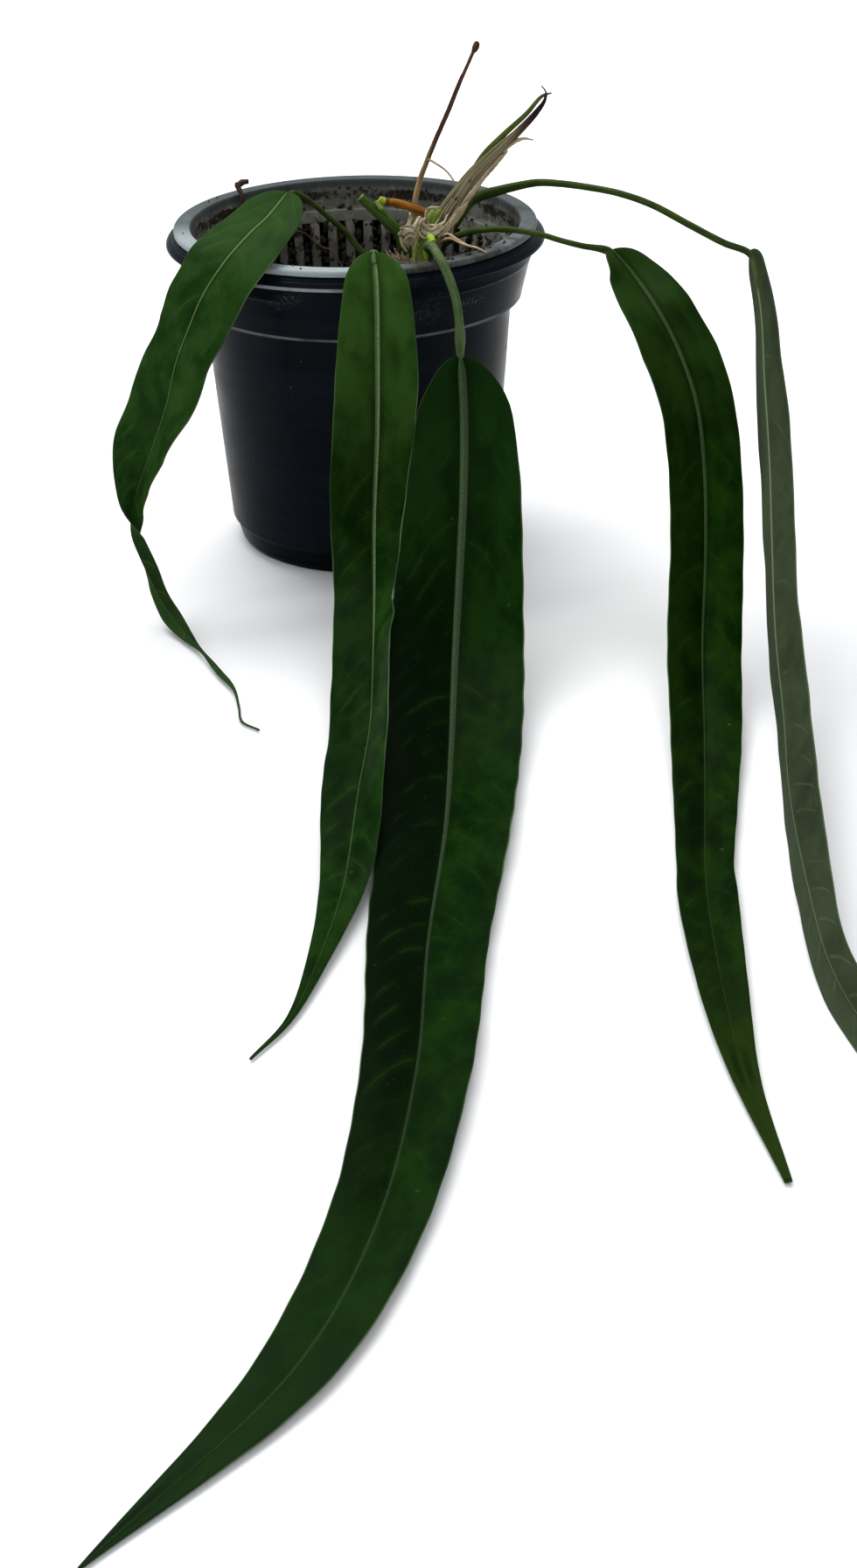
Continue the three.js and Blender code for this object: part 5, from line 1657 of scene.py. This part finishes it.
# %% Fine strands of the torn sheath
THREADS = [
    ([[35.5, -9.5, 151.7], [34.4, -11, 153.2], [32.5, -11.6, 153.1], [31.5, -11.8, 151.9],
      [31.8, -12.2, 149.4], [32.3, -12.6, 146.5]], 0.62),
    ([[28.1, -13, 147.8], [30, -15, 145.6], [33, -16, 144.7], [36.1, -15.4, 145.4],
      [38.8, -13.5, 146.9]], 0.5),
    ([[28.1, -14, 145.4], [31.1, -16, 143], [34.1, -17, 142.4], [37.6, -16, 143.8],
      [40.7, -13.5, 146.1]], 0.45),
    ([[34.9, -16.5, 142.4], [38, -15.5, 144.6], [40.8, -13.5, 147.3], [43.5, -10.5, 150.1],
      [45.9, -8, 152.7]], 0.5),
    ([[36.4, -16.5, 141.6], [39.5, -15, 144.1], [42.3, -12.5, 146.8], [45.1, -9.5, 149.8],
      [47.8, -7, 152.7]], 0.42),
    ([[37.9, -16, 141.5], [41.1, -14, 144.1], [43.9, -11.5, 147.3], [46.6, -8.5, 150.3],
      [49.4, -6, 153.6]], 0.5),
    ([[36.1, -14.5, 144.6], [38.8, -13, 146.8], [40.8, -11, 149.7], [42.8, -9, 152.6],
      [45.6, -6.5, 155.7]], 0.4),
    ([[34.6, -14, 145.6], [36.6, -12.5, 147.9], [38.6, -11, 150.9], [40.5, -9, 153.4],
      [42.9, -7, 155.9]], 0.4),
    ([[22.7, -12, 144.6], [23.5, -12, 147.3], [24.4, -11.5, 150.2]], 0.55),
    ([[21.1, -16, 142.6], [24.2, -17, 144.5], [26.9, -17.4, 143], [25.7, -16.6, 139.2]], 0.5),
    ([[20, -14, 144.8], [23.1, -16, 146.8], [26.2, -16.6, 145.9], [28.4, -16.8, 142.7]], 0.5),
    ([[21.9, -16.4, 140.4], [23.8, -17.2, 142.5], [26.1, -17.6, 141.4], [27.9, -17.2, 138.1]], 0.5),
]
place(grow_together(
    "sheath_threads", [(points, [radius, radius, radius * 0.5]) for points, radius in THREADS],
    papery, sides=8, wobble=0.3, grain=700, spacing=0.7,
), "straw", "dry_sheath")

# %% [markdown]
# ## What stands up from the crown
# A new leaf still rolled, a dead flower stalk of two strands with a knob at its tip and
# a pale tendril, an orange side shoot, and thin dead roots.

# %% Stalks and roots
new_leaf_finish = streaked(
    "new_leaf_green", (0.039, 0.06, 0.01), (0.098, 0.128, 0.029), 0.4,
    ends=((76, 80, (0.06, 0.06, 0.025)),), streaks=8.0,
)
new_leaf_mesh = body_along(
    "new_leaf_roll",
    [[34.5, -1.5, 138.5], [37.4, 2.4, 143], [40.6, 5.4, 147.6], [44.3, 6.4, 153], [50.6, 7, 161],
     [57.3, 7.8, 171], [65.8, 8.2, 179.3], [76.2, 8.6, 188.5], [83, 9, 195.8], [87.2, 9.2, 197.1]],
    [1.3, 1.4, 1.4, 1.4, 1.35, 1.3, 1.25, 1.1, 0.8, 0.3],
    [1.1, 1.1, 1.1, 1.1, 1.0, 0.95, 0.85, 0.75, 0.5, 0.25], ripple=0.12, ripples=2, sides=24,
)
place(show("new_leaf_roll", new_leaf_mesh), "stem_green", "new_leaf", finish=new_leaf_finish)

stalk_finish = streaked(
    "flower_stalk_brown", (0.17, 0.11, 0.045), (0.48, 0.34, 0.17), 0.65,
    ends=((24, 44, (0.075, 0.036, 0.02)),), streaks=10.0,
)
stalk_route = [[29.6, -0.4, 136], [27.8, 4, 143], [26.8, 6.3, 150], [29.3, 6.5, 161],
               [32.5, 6.5, 169.4], [36.1, 7, 177.8], [42.1, 7.5, 190.6], [45.7, 8, 199],
               [48.8, 9, 205.8], [53.1, 9.5, 215], [54.3, 9.5, 217.6]]
strand_route = [[x - 0.75, y - 0.7, z + 0.2] for x, y, z in stalk_route[1:9]]
place(grow_together("flower_stalk_strands", [
    (stalk_route, [1.3, 1.2, 1.1, 1, 0.95, 0.95, 0.9, 0.85, 0.75, 0.75, 0.9]),
    (strand_route, [0.8, 0.8, 0.75, 0.6, 0.5, 0.5, 0.45, 0.3]),
], stalk_finish, sides=12, wobble=0.35, grain=260, spacing=0.9), "straw", "flower_stalk")
knob_finish = streaked("flower_knob_brown", (0.03, 0.014, 0.009), (0.13, 0.075, 0.045), 0.7)
place(grow_stem(
    "flower_knob", [[53.2, 9.4, 215.2], [54, 9.5, 216.8], [54.7, 9.5, 218.4], [54.9, 9.5, 219.6]],
    [0.8, 1.5, 1.5, 0.7], knob_finish, wobble=1.3, grain=700, spacing=0.3,
), "straw", "flower_stalk")
tendril_finish = streaked("tendril_pale", (0.26, 0.18, 0.09), (0.6, 0.48, 0.3), 0.6)
place(grow_stem(
    "flower_tendril", [[32.5, 6, 170.4], [36, 5.6, 168.4], [40.4, 4.6, 165.4], [43.2, 3.4, 162.2],
                       [44.6, 2.6, 159.6]],
    [0.55, 0.5, 0.45, 0.42, 0.4], tendril_finish, sides=8, wobble=0.2, grain=500,
), "straw", "flower_stalk")

shoot_finish = streaked(
    "side_shoot_orange", (0.15, 0.05, 0.006), (0.42, 0.17, 0.025), 0.5,
    ends=((25.4, 26.8, (0.1, 0.045, 0.01)), (27.6, 28.4, (0.3, 0.36, 0.03))), streaks=8.0,
)
place(grow_stem(
    "side_shoot_stem", [[33.5, 1.5, 142], [30.5, 2.4, 147.6], [24.8, -1, 150.8], [19, -3.5, 153.4],
                        [13.4, -5.2, 154.8], [11.2, -5.6, 156.2]],
    [1.8, 1.75, 1.7, 1.85, 1.6, 1.2], shoot_finish, sides=18, wobble=0.5, grain=300, spacing=0.7,
), "shoot", "side_shoot")

root_finish = streaked("dry_root_tan", (0.2, 0.14, 0.075), (0.55, 0.43, 0.26), 0.7, streaks=7.0)
place(grow_together("dry_roots", [
    ([[36.4, -11.4, 134.6], [37.8, -15, 138.8], [41.5, -23.5, 142.8], [46, -35, 143.9],
      [50, -45.4, 145.2], [52.6, -52, 146.35], [56.4, -58.8, 146.25]],
     [1, 0.85, 0.68, 0.58, 0.52, 0.46, 0.3]),
    ([[37.6, -13.6, 140.4], [40.4, -20, 143.8], [44.2, -29.5, 144.2], [47.4, -38, 144.6]],
     [0.6, 0.6, 0.5, 0.3]),
], root_finish, sides=9, wobble=0.5, grain=450, spacing=0.7), "straw", "dry_root")
thread_finish = streaked("thin_root_brown", (0.03, 0.02, 0.014), (0.09, 0.065, 0.045), 0.75)
place(grow_stem(
    "thin_root_loop", [[-44, 40, 101], [-38, 50, 116], [-30.6, 55.6, 125.5], [-24.9, 55.8, 124.6],
                       [-21.4, 55, 121.5], [-16.5, 52, 118.9], [-12.3, 48, 118.4], [-6, 42, 108],
                       [-3, 39, 101]],
    [0.36] * 9, thread_finish, sides=8, wobble=0.2, grain=500,
), "straw", "thin_root")

# %% Fibre tuft
TUFT_FIBRES = 26

tuft_draw = random.Random(17)
tuft_stems = []
for i in range(TUFT_FIBRES):
    lean = i / (TUFT_FIBRES - 1)
    tip = (9.5 + 15 * lean + tuft_draw.uniform(-1, 1), -19.5 + tuft_draw.uniform(-3.5, 2),
           136.8 - 3.6 * abs(lean - 0.42) + tuft_draw.uniform(-2.6, 1.2))
    root = (20 + 3.4 * lean, -18.2 + tuft_draw.uniform(-1, 1), 120.5)
    bend = [(a + b) / 2 + tuft_draw.uniform(-1.3, 1.3) for a, b in zip(root, tip)]
    bend[2] += 2.4
    tuft_stems.append(([root, bend, tip], [0.55, 0.5, 0.22]))
tuft_finish = streaked("fibre_tuft_tan", (0.2, 0.13, 0.08), (0.6, 0.47, 0.32), 0.8, streaks=4.0)
place(grow_together(
    "fibre_tuft_fan", tuft_stems, tuft_finish, sides=6, wobble=0.35, grain=600, spacing=1.0,
), "straw", "fibre_tuft")

# %% Bark chunk and rim twig
chunk_shape = bmesh.new()
bmesh.ops.create_icosphere(chunk_shape, subdivisions=5, radius=0.5)
low, high = (Vector(corner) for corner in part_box("bark_chunk"))
for vertex in chunk_shape.verts:
    rough = noise.fractal(vertex.co * 3 + Vector((4, 0, 0)), 0.8, 2, 5)
    vertex.co = vertex.co * (0.9 + 0.16 * rough)
    vertex.co = (low + high) / 2 + Vector(a * b for a, b in zip(vertex.co, high - low))
chunk_mesh = bpy.data.meshes.new("bark_chunk_rough")
chunk_shape.to_mesh(chunk_mesh)
chunk_shape.free()
place(show("bark_chunk_rough", chunk_mesh), "bark", "bark_chunk", finish=bark_finish)
twig_finish = streaked("twig_brown", (0.022, 0.013, 0.01), (0.11, 0.068, 0.05), 0.8, streaks=6.0)
place(grow_together("rim_twig_head", [
    ([[-52.2, 45.6, 132.85], [-52.6, 46.2, 141], [-52.9, 46.7, 145.4], [-54.4, 48.6, 149],
      [-52.6, 50, 150.6], [-49.6, 50, 151]], [1.2, 1.1, 1, 1.2, 1.5, 1.1]),
    ([[-53.4, 48, 147], [-54.8, 48.6, 149.4], [-55.2, 49, 151]], [1, 1.4, 0.7]),
], twig_finish, sides=10, wobble=1.0, grain=420, spacing=0.5), "bark", "rim_twig")

# %% [markdown]
# ## Floor and light
# The object was photographed by broad daylight from above and behind, which makes the
# tops of the arching leaves bright and leaves the hanging parts dark. A wide soft
# light stands for that sky, and a weaker one at the front left draws the long soft
# reflection on the pot.

# %% Floor, lights and world
FLOOR_HALF = 7.0
floor_mesh = mesh_of("floor", [
    (-FLOOR_HALF, -FLOOR_HALF, 0), (FLOOR_HALF, -FLOOR_HALF, 0),
    (FLOOR_HALF, FLOOR_HALF, 0), (-FLOOR_HALF, FLOOR_HALF, 0),
], [(0, 1, 2, 3)])
floor = show("floor", floor_mesh)
floor_paint = Finish("floor_pale", shine=0.1)
floor.data.materials.append(floor_paint.finish((0.86, 0.86, 0.86), 0.9))


def soft_light(name, spot, target, size, power, colour=(1, 1, 1)):
    data = bpy.data.lights.new(name, "AREA")
    data.shape = "RECTANGLE"
    data.size, data.size_y = size
    data.energy = power
    data.color = colour
    light = bpy.data.objects.new(name, data)
    light.location = spot
    light.rotation_euler = (Vector(target) - Vector(spot)).to_track_quat("-Z", "Y").to_euler()
    bpy.context.scene.collection.objects.link(light)


soft_light("sky", (-0.3, 0.9, 1.9), (0, -0.1, 0.05), (1.8, 1.4), 54)
soft_light("front_left", (-1.5, -0.7, 0.9), (0, 0, 0.1), (0.35, 1.3), 6, (0.92, 0.96, 1))
soft_light("front", (0.5, -1.9, 1.5), (0, -0.3, 0.05), (1.4, 1.0), 7)

world = bpy.data.worlds.new("daylight")
world.use_nodes = True
background = world.node_tree.nodes["Background"]
background.inputs["Color"].default_value = (0.94, 0.97, 1, 1)
background.inputs["Strength"].default_value = 0.62
bpy.context.scene.world = world
bpy.context.scene.view_settings.view_transform = "Standard"
